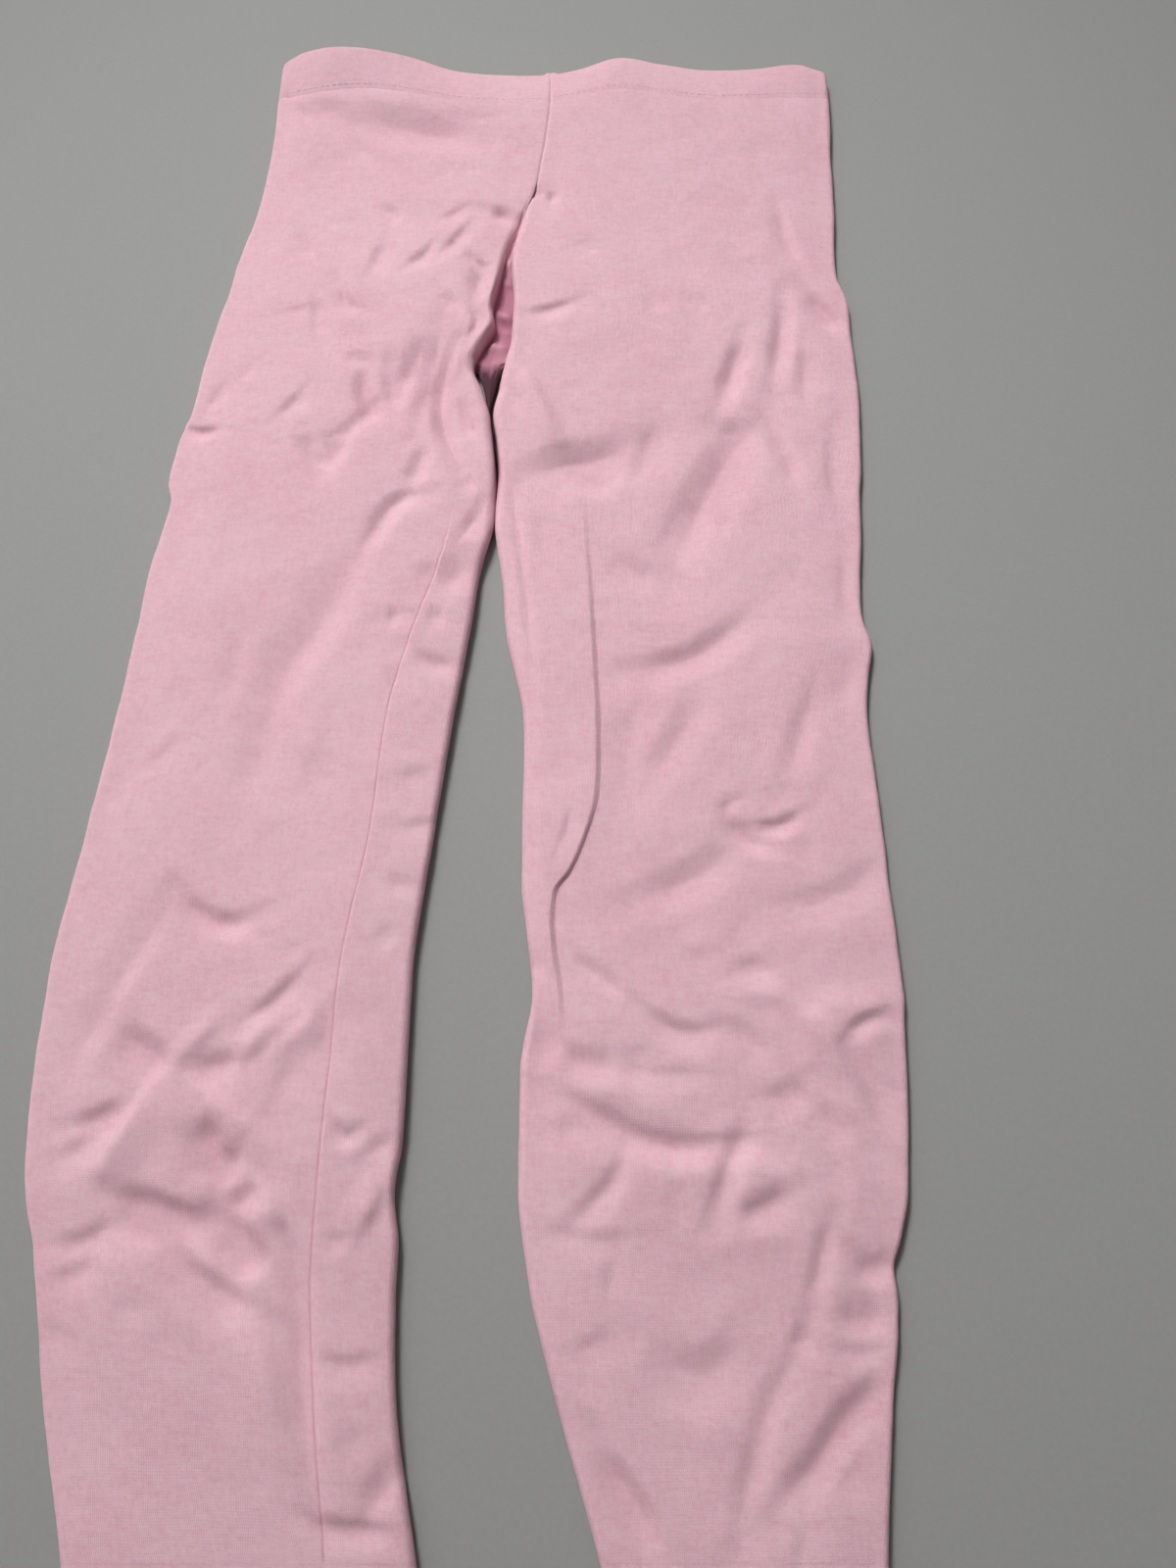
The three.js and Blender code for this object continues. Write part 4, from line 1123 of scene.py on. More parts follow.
@dataclass(frozen=True)
class ThreadFinish:
    """Spun polyester sewing thread, dyed to match."""

    name: str
    colour: tuple[float, float, float] = (0.84, 0.53, 0.60)
    roughness: float = 0.62
    sheen: float = 0.1
    rib_scale: float = 900.0
    rib_waver: float = 1.5
    rib_depth: float = 0.00004

    def material(self) -> bpy.types.Material:
        """Makes the material, with the thread's twist as fine slanting ribs, painted darker in their
        grooves as shade.
        """
        material, tree, shader = new_material(self.name)
        shader.inputs["Roughness"].default_value = self.roughness
        shader.inputs["Sheen Weight"].default_value = self.sheen
        space = tree.nodes.new("ShaderNodeTexCoord")
        twist = tree.nodes.new("ShaderNodeTexWave")
        twist.bands_direction = "DIAGONAL"
        twist.inputs["Scale"].default_value = self.rib_scale
        twist.inputs["Distortion"].default_value = self.rib_waver
        # painted shade: the ribs' colour is darker where their bump is low
        ramp = tree.nodes.new("ShaderNodeValToRGB")
        ramp.color_ramp.elements[0].color = (*[c * 0.86 for c in self.colour], 1)
        ramp.color_ramp.elements[1].color = (*self.colour, 1)
        bump = tree.nodes.new("ShaderNodeBump")
        bump.inputs["Distance"].default_value = self.rib_depth
        links = tree.links
        links.new(space.outputs["Object"], twist.inputs["Vector"])
        links.new(twist.outputs["Fac"], ramp.inputs["Fac"])
        links.new(ramp.outputs["Color"], shader.inputs["Base Color"])
        links.new(twist.outputs["Fac"], bump.inputs["Height"])
        links.new(bump.outputs["Normal"], shader.inputs["Normal"])
        return material


class GroupMaker:
    """Small helper that wires the nodes of one shader node group."""

    def __init__(
        self,
        name: str,
        inputs: Sequence[tuple[str, str, object]],
        outputs: Sequence[tuple[str, str]],
    ) -> None:
        """Makes the group with its sockets.

        Args:
            name: Name of the group.
            inputs: Name, socket type and default of each input.
            outputs: Name and socket type of each output.
        """
        self.tree = bpy.data.node_groups.new(name, "ShaderNodeTree")
        for label, kind, default in inputs:
            socket = self.tree.interface.new_socket(name=label, in_out="INPUT", socket_type=kind)
            if default is not None:
                socket.default_value = default
        for label, kind in outputs:
            self.tree.interface.new_socket(name=label, in_out="OUTPUT", socket_type=kind)
        self.entry = self.tree.nodes.new("NodeGroupInput")
        self.exit = self.tree.nodes.new("NodeGroupOutput")

    def math(
        self, operation: str, first: object, second: object = None, third: object = None
    ) -> bpy.types.NodeSocket:
        """Adds a math node and returns its value."""
        node = self.tree.nodes.new("ShaderNodeMath")
        node.operation = operation
        for socket, value in zip(node.inputs, (first, second, third)):
            self.feed(socket, value)
        return node.outputs[0]

    def feed(self, socket: bpy.types.NodeSocket, value: object) -> None:
        """Links a socket to a node's output, or sets it to a plain value."""
        if value is None:
            return
        if isinstance(value, bpy.types.NodeSocket):
            self.tree.links.new(value, socket)
        else:
            socket.default_value = value

    def noise(
        self, place: object, scale: float, detail: float = 2.0, roughness: float = 0.5
    ) -> bpy.types.NodeSocket:
        """Adds a noise texture and returns its value."""
        node = self.tree.nodes.new("ShaderNodeTexNoise")
        self.feed(node.inputs["Vector"], place)
        node.inputs["Scale"].default_value = scale
        node.inputs["Detail"].default_value = detail
        node.inputs["Roughness"].default_value = roughness
        return node.outputs[0]

    def stretch(self, place: object, factors: tuple[float, float, float]) -> bpy.types.NodeSocket:
        """Scales a place unevenly and returns it."""
        node = self.tree.nodes.new("ShaderNodeVectorMath")
        node.operation = "MULTIPLY"
        self.feed(node.inputs[0], place)
        node.inputs[1].default_value = factors
        return node.outputs[0]

    def split(self, place: object) -> bpy.types.NodeOutputs:
        """Returns x, y and z of a place."""
        node = self.tree.nodes.new("ShaderNodeSeparateXYZ")
        self.feed(node.inputs[0], place)
        return node.outputs

    def mix(self, share: object, first: object, second: object) -> bpy.types.NodeSocket:
        """Mixes two colours and returns the result."""
        node = self.tree.nodes.new("ShaderNodeMix")
        node.data_type = "RGBA"
        self.feed(node.inputs["Factor"], share)
        self.feed(node.inputs[6], first)
        self.feed(node.inputs[7], second)
        return node.outputs[2]

    def out(self, label: str, value: object) -> None:
        """Feeds one of the group's outputs."""
        self.feed(self.exit.inputs[label], value)


def knit_group() -> bpy.types.NodeTree:
    """Returns the node group of the jersey's stitches, fuzz and small softness.

    Returns:
        The group. Its height is in millimetres, and its stitch gap shade, which the dye
            paints as shade, is 0 on a stitch and 1 between the columns of stitches.
    """
    name = "jersey_knit"
    if name in bpy.data.node_groups:
        return bpy.data.node_groups[name]
    make = GroupMaker(
        name,
        (
            ("Flat Place", "NodeSocketVector", None),
            ("Place", "NodeSocketVector", None),
            ("Wale", "NodeSocketFloat", 0.00095),
            ("Course", "NodeSocketFloat", 0.00072),
            ("Knit Depth", "NodeSocketFloat", 0.1),
            ("Nap Depth", "NodeSocketFloat", 0.16),
        ),
        (("Height", "NodeSocketFloat"), ("Groove", "NodeSocketFloat")),
    )
    given = make.entry.outputs
    x, y, _ = make.split(given["Flat Place"])
    drift = make.noise(given["Flat Place"], 55.0, 2.0)
    sway = make.math("MULTIPLY_ADD", drift, 3.2, -1.6)
    column = make.math("ADD", make.math("DIVIDE", x, given["Wale"]), sway)
    row = make.math("ADD", make.math("DIVIDE", y, given["Course"]), make.math("MULTIPLY", sway, 0.7))
    away = make.math("ABSOLUTE", make.math("SUBTRACT", make.math("FRACT", column), 0.5))
    arm = make.math("MULTIPLY_ADD", away, 4.0, -1.0)
    crown = make.math("SUBTRACT", 1.0, make.math("MULTIPLY", arm, arm))
    slant = make.math("FRACT", make.math("ADD", row, make.math("MULTIPLY", away, 1.3)))
    beat = make.math("SINE", make.math("MULTIPLY", slant, math.pi))
    stitch = make.math("MULTIPLY", crown, make.math("MULTIPLY_ADD", beat, 0.5, 0.5))
    wear = make.noise(make.stretch(given["Flat Place"], (1.0, 0.35, 1.0)), 420.0, 3.0, 0.6)
    clear = make.math("MULTIPLY", stitch, make.math("MULTIPLY_ADD", wear, 1.4, 0.15))
    fuzz = make.noise(given["Place"], 1500.0, 3.0, 0.7)
    clump = make.noise(make.stretch(given["Place"], (0.45, 1.0, 1.0)), 420.0, 3.0, 0.6)
    nap = make.math("MULTIPLY_ADD", fuzz, 0.45, make.math("MULTIPLY", clump, 0.75))
    height = make.math("MULTIPLY", clear, given["Knit Depth"])
    height = make.math("MULTIPLY_ADD", nap, given["Nap Depth"], height)
    make.out("Height", height)
    make.out("Groove", make.math("SUBTRACT", 1.0, clear))
    return make.tree


def dye_and_shade_group() -> bpy.types.NodeTree:
    """Returns the node group of the jersey's colour, uneven as a washed dye is, with painted shade in
    hollows and between stitch columns and a painted shadow in the gap between the legs.
    """
    name = "washed_dye"
    if name in bpy.data.node_groups:
        return bpy.data.node_groups[name]
    make = GroupMaker(
        name,
        (
            ("Place", "NodeSocketVector", None),
            ("Flat Place", "NodeSocketVector", None),
            ("Groove", "NodeSocketFloat", 0.5),
            ("Pale", "NodeSocketColor", (0.8, 0.5, 0.6, 1.0)),
            ("Deep", "NodeSocketColor", (0.7, 0.4, 0.5, 1.0)),
            ("Hollow", "NodeSocketFloat", 0.0),
            ("Hollow Color", "NodeSocketColor", (0.5, 0.2, 0.3, 1.0)),
            ("Buried Color", "NodeSocketColor", (0.06, 0.02, 0.03, 1.0)),
        ),
        (("Color", "NodeSocketColor"),),
    )
    given = make.entry.outputs
    cloud = make.noise(given["Place"], 26.0, 3.0, 0.55)
    streak = make.noise(make.stretch(given["Flat Place"], (1.0, 0.16, 1.0)), 900.0, 2.0, 0.6)
    heather = make.noise(make.stretch(given["Place"], (0.4, 1.0, 1.0)), 560.0, 3.0, 0.65)
    speck = make.noise(given["Place"], 900.0, 3.0, 0.7)
    # painted shade: the colour deepens between the knit's stitch columns
    share = make.math("MULTIPLY_ADD", given["Groove"], 0.55, make.math("MULTIPLY_ADD", cloud, 0.55, -0.30))
    share = make.math("MULTIPLY_ADD", make.math("SUBTRACT", streak, 0.5), 0.5, share)
    share = make.math("MULTIPLY_ADD", make.math("SUBTRACT", heather, 0.5), 1.0, share)
    share = make.math("MULTIPLY_ADD", make.math("SUBTRACT", speck, 0.5), 1.1, share)
    share = make.math("MINIMUM", make.math("MAXIMUM", share, 0.0), 1.0)
    dyed = make.mix(share, given["Pale"], given["Deep"])
    # painted shade where the mask is up to 1, and painted near-black shadow above 1
    deeper = make.mix(make.math("MINIMUM", given["Hollow"], 1.0), dyed, given["Hollow Color"])
    painted_shadow = make.math("MAXIMUM", make.math("SUBTRACT", given["Hollow"], 1.0), 0.0)
    make.out("Color", make.mix(painted_shadow, deeper, given["Buried Color"]))
    return make.tree


def dress(
    piece: bpy.types.Object, material: bpy.types.Material, node: str | None = None
) -> bpy.types.Object:
    """Gives a piece its finish, hangs it under the frame's root body and hides the frame's part that it
    stands for.

    Args:
        piece: The piece.
        material: Its finish.
        node: The frame's node that it stands for, if it does.

    Returns:
        The same piece.
    """
    piece.data.materials.append(material)
    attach(piece, "root")
    if node:
        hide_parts(node)
    log.info("%s: %d faces", piece.name, len(piece.data.polygons))
    return piece


@dataclass
class LegPanel:
    """One leg's cut panel, from the waist casing's seam to the hem's."""

    shape: LegShape
    name: str
    wall: float = 0.9
    rows_above: int = 120
    rows_below: int = 330
    cut_width: float = 0.262
    cut_length: float = 0.575
    cut_area: float = 0.128

    def _lengths(self) -> tuple[np.ndarray, np.ndarray]:
        """Returns the rings' lengths above and below the crotch, the crotch in both."""
        t = np.linspace(0, 1, self.rows_above + 1)
        above = blend(WAIST_SEAM, CROTCH, t + 0.22 * t * (1 - t))
        t = np.linspace(0, 1, self.rows_below + 1)
        below = blend(CROTCH, HEM_SEAM, t - 0.22 * t * (1 - t))
        return above, below

    def build(self) -> bpy.types.Object:
        """Builds the panel's mesh."""
        shape = self.shape
        cloth = Cloth(shape.side)
        above, below = self._lengths()
        floor, last = shape.floor_cells, shape.last_under
        rings = [shape.rings(above, True, rolled) for rolled in (True, False)]
        outside, lining = (open_loop(ring) for ring in rings)
        free = np.ones(outside.shape)
        free[0, :, 1] = 0
        free[:, [0, -1], 0] = 0
        upper = cloth.add(outside, lining, free)
        flat = shape.flat_place(lining, floor + shape.wall_cells)
        cloth.patch(upper, flat)
        lower_rings = [shape.rings(below, False, rolled) for rolled in (True, False)]
        outside, lining = (tube_loop(ring) for ring in lower_rings)
        first_inner = [ring["inner"][-1:] for ring in rings]
        fold = cloth.add(first_inner[0], first_inner[1])
        free = np.ones(outside[1:].shape)
        free[-1, :, 1] = 0
        rest = cloth.add(outside[1:], lining[1:], free)
        top = np.concatenate((upper[-1:, floor : floor + last + 1], fold), axis=1)
        grid = np.concatenate((top, rest))
        closed = np.concatenate((grid, grid[:, :1]), axis=1)
        ring = np.concatenate((lining, lining[:, :1]), axis=1)
        cloth.patch(closed, shape.flat_place(ring, shape.wall_cells))
        self._crotch(cloth, upper, grid, rings, flat)
        return cloth.mesh(self.name, self.wall, shape.hollow)

    def _crotch(
        self,
        cloth: Cloth,
        upper: np.ndarray,
        grid: np.ndarray,
        rings: list[dict[str, np.ndarray]],
        flat: np.ndarray,
    ) -> None:
        """Adds the patch that joins front and back under the crotch.

        Args:
            cloth: The panel so far.
            upper: Indices of the rings above the crotch.
            grid: Indices of the tube's rings below it.
            rings: Points of the rings above, for outside and lining.
            flat: Places of the rings above on the flat cloth.
        """
        shape = self.shape
        floor, last, folds = shape.floor_cells, shape.last_under, shape.fold_cells
        first = grid[0]
        side = np.concatenate((first[:1], first[last + folds - 1 : last : -1], first[last : last + 1]))
        rows = [side]
        half_turns = np.pi * (0.5 - np.arange(1, folds) / folds)
        for i in range(1, floor + 1):
            share = i / floor
            ends = []
            for face, ring in zip((cloth.outside, cloth.lining), rings):
                rim = ring["floor"][-1, -1]
                half = rim[2] / 2
                end = np.stack(
                    (
                        np.full(folds - 1, rim[0]),
                        CROTCH - (half + shape.web * share) * np.cos(half_turns),
                        half + half * np.sin(half_turns),
                    ),
                    axis=1,
                )
                ends.append(blend(face[side[1:-1]], end, share))
            free = np.ones(ends[0].shape)
            free[:, 0] = float(i < floor)
            middle = cloth.add(ends[0], ends[1], free)
            rows.append(np.concatenate((upper[-1:, floor - i], middle, upper[-1:, floor + last + i])))
        place = np.zeros((floor + 1, folds + 1, 2))
        for i in range(floor + 1):
            start = flat[-1, floor - i]
            place[i] = start + np.stack((np.zeros(folds + 1), -np.linspace(0, 9, folds + 1)), axis=1)
        cloth.patch(np.stack(rows), place)


@dataclass
class FoldedBand:
    """A turned edge: a strip of cloth folded over, with a round outer edge."""

    name: str
    side: Side
    thickness: float
    round_cells: int = 8

    def build(self, face: np.ndarray, flat: np.ndarray, closed: bool) -> bpy.types.Object:
        """Builds the band from its outside face.

        Args:
            face: Points by row, from the seam to the folded edge, and column, in mm.
            flat: Place of each on the flat cloth, in mm.
            closed: True for a tube, whose last column meets its first.

        Returns:
            The band.
        """
        normals = self._normals(face, closed)
        radius = self.thickness / 2
        turn = np.pi * np.arange(1, self.round_cells)[:, None, None] / self.round_cells
        way = face[-1] - face[-2]
        way = way / np.linalg.norm(way, axis=1, keepdims=True)
        last, facing = face[-1] - way * radius, normals[-1]
        share = np.linspace(0, 1, len(face))[:, None, None]
        outer = face - (way * radius)[None] * share
        arc = last[None] - facing[None] * radius * (1 - np.cos(turn)) + way[None] * radius * np.sin(turn)
        inner = (outer - normals * self.thickness)[::-1]
        loop = np.concatenate((outer, arc, inner))
        arc_flat = flat[-1][None] + np.zeros((len(arc), 1, 1))
        loop_flat = np.concatenate((flat, arc_flat, flat[::-1]))
        return self._mesh(loop, loop_flat, closed)

    def _normals(self, face: np.ndarray, closed: bool) -> np.ndarray:
        """Returns the outward directions of the outside face, square to its length."""
        if closed:
            around = np.roll(face, -1, axis=1) - np.roll(face, 1, axis=1)
        else:
            around = np.gradient(face, axis=1)
        around[..., 1] = 0
        normals = np.stack((-around[..., 2], around[..., 1], around[..., 0]), axis=2) * self.side.value
        normals /= np.maximum(np.linalg.norm(normals, axis=2, keepdims=True), 1e-9)
        if not closed:
            for column in (0, -1):
                normals[:, column, 0] = 0
                normals[:, column] /= np.linalg.norm(normals[:, column], axis=1, keepdims=True)
        return normals

    def _mesh(self, loop: np.ndarray, flat: np.ndarray, closed: bool) -> bpy.types.Object:
        """Makes the object from the closed section loop of each column."""
        count, columns = loop.shape[:2]
        index = np.arange(count * columns).reshape(count, columns)
        around = np.concatenate((index, index[:1]))
        places = np.concatenate((flat, flat[-1:] * 0 + flat[:1]))
        if closed:
            around = np.concatenate((around, around[:, :1]), axis=1)
            step = places[:, -1:] - places[:, -2:-1]
            places = np.concatenate((places, places[:, -1:] + step), axis=1)
        grid, place = (around[:, ::-1], places[:, ::-1]) if self.outward() else (around, places)
        faces = Cloth._quads(grid).tolist()
        corners = [Cloth._quads(place).reshape(-1, 2)]
        if not closed:
            for column, turned in ((0, False), (columns - 1, True)):
                for k in range(count // 2 - 1):
                    quad = [index[row, column] for row in (k, k + 1, -2 - k, -1 - k)]
                    quad = quad if turned == self.outward() else quad[::-1]
                    faces.append([int(i) for i in quad])
                    corners.append(flat.reshape(-1, 2)[quad])
        return build_object(self.name, loop.reshape(-1, 3) * MM, faces, np.concatenate(corners) * MM)

    def outward(self) -> bool:
        """Returns whether the columns are turned round for the faces to look outward."""
        return self.side is Side.RIGHT


@dataclass
class WaistCasing:
    """Half of the waist casing: the panel's top edge turned over the elastic."""

    shape: LegShape
    name: str
    thickness: float = 2.0
    cells: int = 18
    cut_length: float = 0.0225
    puff: float = 0.35
    gather_depth: float = 0.10
    stitch_row: float = 2.6
    stitch_groove: float = 0.05
    stitch_width: float = 0.8
    seam_groove: float = 0.16
    seam_width: float = 0.9
    nub: tuple[float, float, float] = (13.2, 2.6, 1.3)

    def face(self) -> tuple[np.ndarray, np.ndarray]:
        """Returns the points of the outside face and their places on the flat cloth."""
        shape = self.shape
        base = open_loop(shape.rings(np.array([WAIST_SEAM]), True, False))[0]
        share = np.linspace(0, 1, self.cells + 1)[:, None]
        x, z = base[None, :, 0], base[None, :, 2]
        seam_y, edge_y = shape.casing["seam_y"](x) + SEAM_GAP, shape.casing["edge_y"](x)
        seam_z, edge_z = shape.casing["seam_z"](x), shape.casing["edge_z"](x)
        middle, spread, high = self.nub
        nub = high * np.exp(-(((x - middle) / spread) ** 4)) * ease(z / 4)
        top = np.minimum(z / seam_z, 1)
        y = blend(seam_y, edge_y + nub, share)
        fade = np.sin(np.pi * np.clip(share * 0.8 + 0.1, 0, 1))
        gather = shape.fine(x * 1.9 + 40, y * 0.35) * self.gather_depth * fade
        stitched = np.exp(-(((y - seam_y - self.stitch_row) / self.stitch_width) ** 2))
        seamed = np.exp(-(((y - seam_y) / self.seam_width) ** 2))
        groove = self.stitch_groove * stitched + self.seam_groove * seamed
        puff = self.puff * np.sin(np.pi * share) + gather - groove
        rise = (edge_z - seam_z) * share * top + puff * ease(z / 3.0)
        lifted = np.maximum(z + rise, 0)
        points = np.stack(np.broadcast_arrays(x, y, lifted), axis=2)
        flat = shape.flat_place(points, shape.floor_cells + shape.wall_cells)
        return points, flat

    def build(self) -> bpy.types.Object:
        """Builds the casing half."""
        face, flat = self.face()
        return FoldedBand(self.name, self.shape.side, self.thickness).build(face, flat, False)


@dataclass
class Hem:
    """The leg's end, turned up once and stitched down with two needles."""

    shape: LegShape
    name: str
    thickness: float = 1.6
    cells: int = 16
    needle_rows: tuple[float, float] = (1.6, 6.6)
    cut_length: float = 0.0207
    needle_groove: float = 0.22
    seam_groove: float = 0.04
    groove_width: float = 0.8
    ripple: float = 0.12

    def face(self) -> tuple[np.ndarray, np.ndarray]:
        """Returns the points of the outside face and their places on the flat cloth."""
        y = np.linspace(HEM_SEAM - SEAM_GAP, HEM_END, self.cells + 1)
        points = tube_loop(self.shape.rings(y, False, False))
        drop = np.zeros((len(y), 1))
        grooves = [(row, self.needle_groove) for row in self.needle_rows] + [(0, self.seam_groove)]
        for row, deep in grooves:
            near = (y - HEM_SEAM + SEAM_GAP + row) / self.groove_width
            drop += deep * np.exp(-(near**2))[:, None]
        ripple = self.ripple * self.shape.fine(points[..., 0] * 1.6, points[..., 1] * 0.6)
        ripple *= ease((HEM_SEAM - y) / 4)[:, None]
        points[..., 2] += (ripple - drop) * ease(points[..., 2] / 3)
        return points, self.shape.flat_place(points, self.shape.wall_cells)

    def build(self) -> bpy.types.Object:
        """Builds the hem."""
        face, flat = self.face()
        return FoldedBand(self.name, self.shape.side, self.thickness).build(face, flat, True)


@dataclass
class StitchRow:
    """A row of straight machine stitches that lie on a cloth."""

    pitch: float = 2.7
    length: float = 2.05
    radius: float = 0.11
    arch: float = 0.05
    sink: float = 0.22
    sides: int = 5
    rings: int = 7

    def build(self, name: str, paths: Sequence[tuple[np.ndarray, np.ndarray]]) -> bpy.types.Object:
        """Builds the stitches along paths.

        Args:
            name: Name of the object.
            paths: Points and outward directions of each row, in mm.

        Returns:
            One object with all the stitches.
        """
        points: list[np.ndarray] = []
        faces: list[list[int]] = []
        for path, facing in paths:
            steps = np.linalg.norm(np.diff(path, axis=0), axis=1)
            travelled = np.concatenate(([0], np.cumsum(steps)))
            for start in np.arange(1.0, travelled[-1] - self.length - 1.0, self.pitch):
                at = np.linspace(start, start + self.length, self.rings)
                line = np.stack([np.interp(at, travelled, path[:, k]) for k in range(3)], axis=1)
                up = np.stack([np.interp(at, travelled, facing[:, k]) for k in range(3)], axis=1)
                self._stitch(line, up, points, faces)
        vertices = np.concatenate(points) * MM
        places = np.zeros((sum(len(face) for face in faces), 2))
        return build_object(name, vertices, faces, places, 80.0)

    def _stitch(
        self, line: np.ndarray, up: np.ndarray, points: list[np.ndarray], faces: list[list[int]]
    ) -> None:
        """Adds one stitch, arched over the cloth with both ends sunk into it."""
        share = np.linspace(0, 1, self.rings)
        up = up / np.linalg.norm(up, axis=1, keepdims=True)
        pressed = self.sink if up[:, 2].mean() < -0.3 else 0.0
        lift = self.arch - pressed - (self.arch + self.sink) * (2 * share - 1) ** 4
        centre = line + up * lift[:, None]
        along = np.gradient(centre, axis=0)
        along /= np.linalg.norm(along, axis=1, keepdims=True)
        across = np.cross(along, up)
        across /= np.linalg.norm(across, axis=1, keepdims=True)
        turn = 2 * np.pi * np.arange(self.sides) / self.sides
        thick = self.radius * np.sqrt(np.maximum(1 - (2 * share - 1) ** 6 * 0.6, 0.2))
        cos, sin = np.cos(turn)[None, :, None], np.sin(turn)[None, :, None]
        ring = across[:, None] * cos + up[:, None] * sin
        first = sum(len(group) for group in points)
        points.append((centre[:, None] + ring * thick[:, None, None]).reshape(-1, 3))
        for i in range(self.rings - 1):
            for j in range(self.sides):
                k = (j + 1) % self.sides
                a, b = first + i * self.sides, first + (i + 1) * self.sides
                faces.append([a + j, a + k, b + k, b + j])
        faces.append([first + j for j in range(self.sides)][::-1])
        end = first + (self.rings - 1) * self.sides
        faces.append([end + j for j in range(self.sides)])


@dataclass
class Leg:
    """One leg with its half of the waist casing, its hem and its stitching."""

    shape: LegShape
    jersey: bpy.types.Material
    thread: bpy.types.Material

    @property
    def word(self) -> str:
        """The leg's side as a word."""
        return self.shape.side.name.lower()

    def build(self) -> list[bpy.types.Object]:
        """Builds every piece of the leg and dresses each with its finish."""
        word = self.word
        panel = LegPanel(self.shape, f"panel_{word}")
        cloth = dress(panel.build(), self.jersey, f"leg_{word}")
        casing = WaistCasing(self.shape, f"casing_{word}")
        band = dress(casing.build(), self.jersey, f"waist_casing_{word}")
        hem = Hem(self.shape, f"turned_hem_{word}")
        end = dress(hem.build(), self.jersey, f"hem_{word}")
        band_thread = dress(self._casing_stitches(casing), self.thread)
        hem_thread = dress(self._hem_stitches(hem), self.thread)
        around = float(np.linalg.norm(np.diff(casing.face()[0][0], axis=0), axis=1).sum()) * MM
        around = float(np.linalg.norm(np.diff(hem.face()[0][0], axis=0), axis=1).sum()) * MM
        return [cloth, band, end, band_thread, hem_thread]

    def _path(self, face: np.ndarray, distance: float, closed: bool) -> tuple[np.ndarray, np.ndarray]:
        """Returns a line round a band's face, at a distance from its seam."""
        normals = FoldedBand("", self.shape.side, 1.0)._normals(face, closed)
        length = np.abs(face[-1, :, 1] - face[0, :, 1])
        row = distance / length * (len(face) - 1)
        low = np.clip(np.floor(row).astype(int), 0, len(face) - 2)
        share = (row - low)[:, None]
        column = np.arange(face.shape[1])
        path = blend(face[low, column], face[low + 1, column], share)
        up = blend(normals[low, column], normals[low + 1, column], share)
        return path, up

    def _casing_stitches(self, casing: WaistCasing) -> bpy.types.Object:
        """Builds the row of stitches that holds the casing down."""
        face, _ = casing.face()
        return StitchRow().build(f"casing_thread_{self.word}", [self._path(face, 2.6, False)])

    def _hem_stitches(self, hem: Hem) -> bpy.types.Object:
        """Builds the two rows of stitches of the hem."""
        face, _ = hem.face()
        paths = [self._path(face, row, True) for row in hem.needle_rows]
        return StitchRow().build(f"hem_thread_{self.word}", paths)


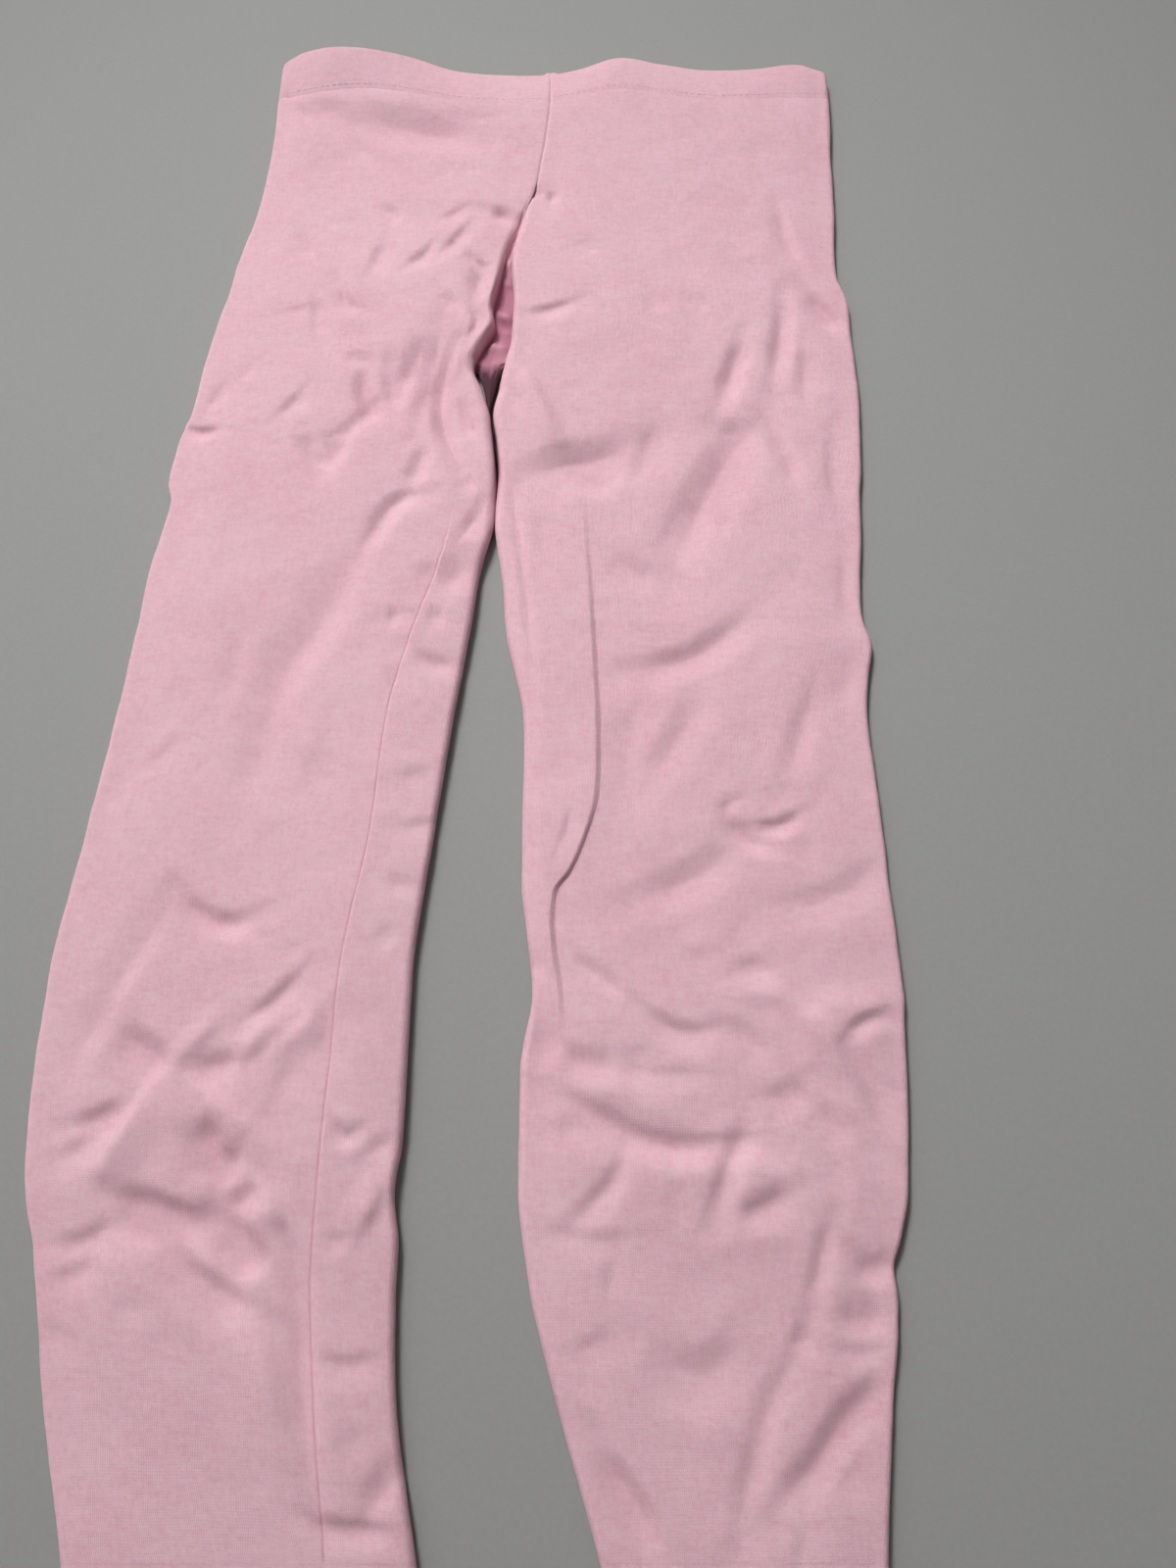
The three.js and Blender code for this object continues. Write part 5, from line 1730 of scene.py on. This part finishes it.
@dataclass
class Studio:
    """Pale floor, soft light from beyond the waist, and the camera."""

    floor_size: float = 4.0
    floor_drop: float = 0.3
    camera_place: tuple[float, float, float] = (0.030, -0.210, 0.367)
    camera_tilt: float = 23.0
    lens: float = 27.0

    def build(self) -> None:
        """Builds the floor, the lights and the camera."""
        self._floor()
        self._light("far_softbox", (-0.90, 1.94, 2.14), (1.1, 0.8), 3.4, (0.0, 0.14, 0.0), 26.0)
        self._light("left_softbox", (-0.65, -0.20, 0.60), (0.4, 0.4), 0.9, (0.0, -0.15, 0.0), 180.0)
        self._sky()
        self._camera()

    def _floor(self) -> None:
        """Makes the floor, which isn't part of the object."""
        half, z = self.floor_size / 2, -self.floor_drop * MM
        mesh = bpy.data.meshes.new("floor")
        corners = [(-half, -half, z), (half, -half, z), (half, half, z), (-half, half, z)]
        mesh.from_pydata(corners, [], [(0, 1, 2, 3)])
        floor = bpy.data.objects.new("floor", mesh)
        bpy.context.scene.collection.objects.link(floor)
        material, tree, shader = new_material("pale_floor")
        shader.inputs["Roughness"].default_value = 0.75
        shader.inputs["Specular IOR Level"].default_value = 0.25
        space = tree.nodes.new("ShaderNodeTexCoord")
        grain = tree.nodes.new("ShaderNodeTexNoise")
        grain.inputs["Scale"].default_value = 700.0
        grain.inputs["Detail"].default_value = 3.0
        ramp = tree.nodes.new("ShaderNodeValToRGB")
        ramp.color_ramp.elements[0].color = (0.30, 0.303, 0.294, 1)
        ramp.color_ramp.elements[1].color = (0.34, 0.343, 0.333, 1)
        tree.links.new(space.outputs["Object"], grain.inputs["Vector"])
        tree.links.new(grain.outputs[0], ramp.inputs["Fac"])
        tree.links.new(ramp.outputs["Color"], shader.inputs["Base Color"])
        mesh.materials.append(material)

    def _light(
        self,
        name: str,
        place: tuple[float, float, float],
        size: tuple[float, float],
        power: float,
        target: tuple[float, float, float],
        spread: float,
    ) -> None:
        """Adds a soft box.

        Args:
            name: Name of the light.
            place: Where it stands, in metres.
            size: Its width and height.
            power: Its power, in watts.
            target: What it points at.
            spread: Angle of its beam, in degrees.
        """
        light = bpy.data.lights.new(name, "AREA")
        light.shape = "RECTANGLE"
        light.size, light.size_y = size
        light.energy = power
        light.spread = math.radians(spread)
        made = bpy.data.objects.new(name, light)
        made.location = place
        way = Vector(target) - Vector(place)
        made.rotation_euler = way.to_track_quat("-Z", "Y").to_euler()
        bpy.context.scene.collection.objects.link(made)

    def _sky(self) -> None:
        """Sets the even light of the room."""
        world = bpy.data.worlds.new("room")
        world.use_nodes = True
        background = world.node_tree.nodes["Background"]
        background.inputs["Color"].default_value = (1.0, 0.93, 0.96, 1.0)
        background.inputs["Strength"].default_value = 0.17
        bpy.context.scene.world = world
        bpy.context.scene.view_settings.view_transform = "Standard"

    def _camera(self) -> None:
        """Adds the camera, above the hems and looking down towards the waist."""
        data = bpy.data.cameras.new("camera")
        data.lens = self.lens
        data.sensor_width = 36.0
        data.clip_start = 0.01
        camera = bpy.data.objects.new("camera", data)
        camera.location = self.camera_place
        camera.rotation_euler = (math.radians(self.camera_tilt), 0.0, 0.0)
        bpy.context.scene.collection.objects.link(camera)
        bpy.context.scene.camera = camera


def main() -> None:
    """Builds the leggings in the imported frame."""
    logging.basicConfig(level=logging.INFO, format="%(name)s %(message)s")
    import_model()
    Studio().build()
    jersey = JerseyFinish("pink_jersey").material()
    thread = ThreadFinish("pink_thread").material()
    shapes = (
        LegShape(Side.LEFT, LEFT_LEG, LEFT_CREASES, LEFT_UNDER, seed=11),
        LegShape(Side.RIGHT, RIGHT_LEG, RIGHT_CREASES, RIGHT_UNDER, seed=23, ledge_run=2.4),
    )
    for shape in shapes:
        Leg(shape, jersey, thread).build()
    bpy.context.view_layer.update()


if __name__ == "__main__":
    main()
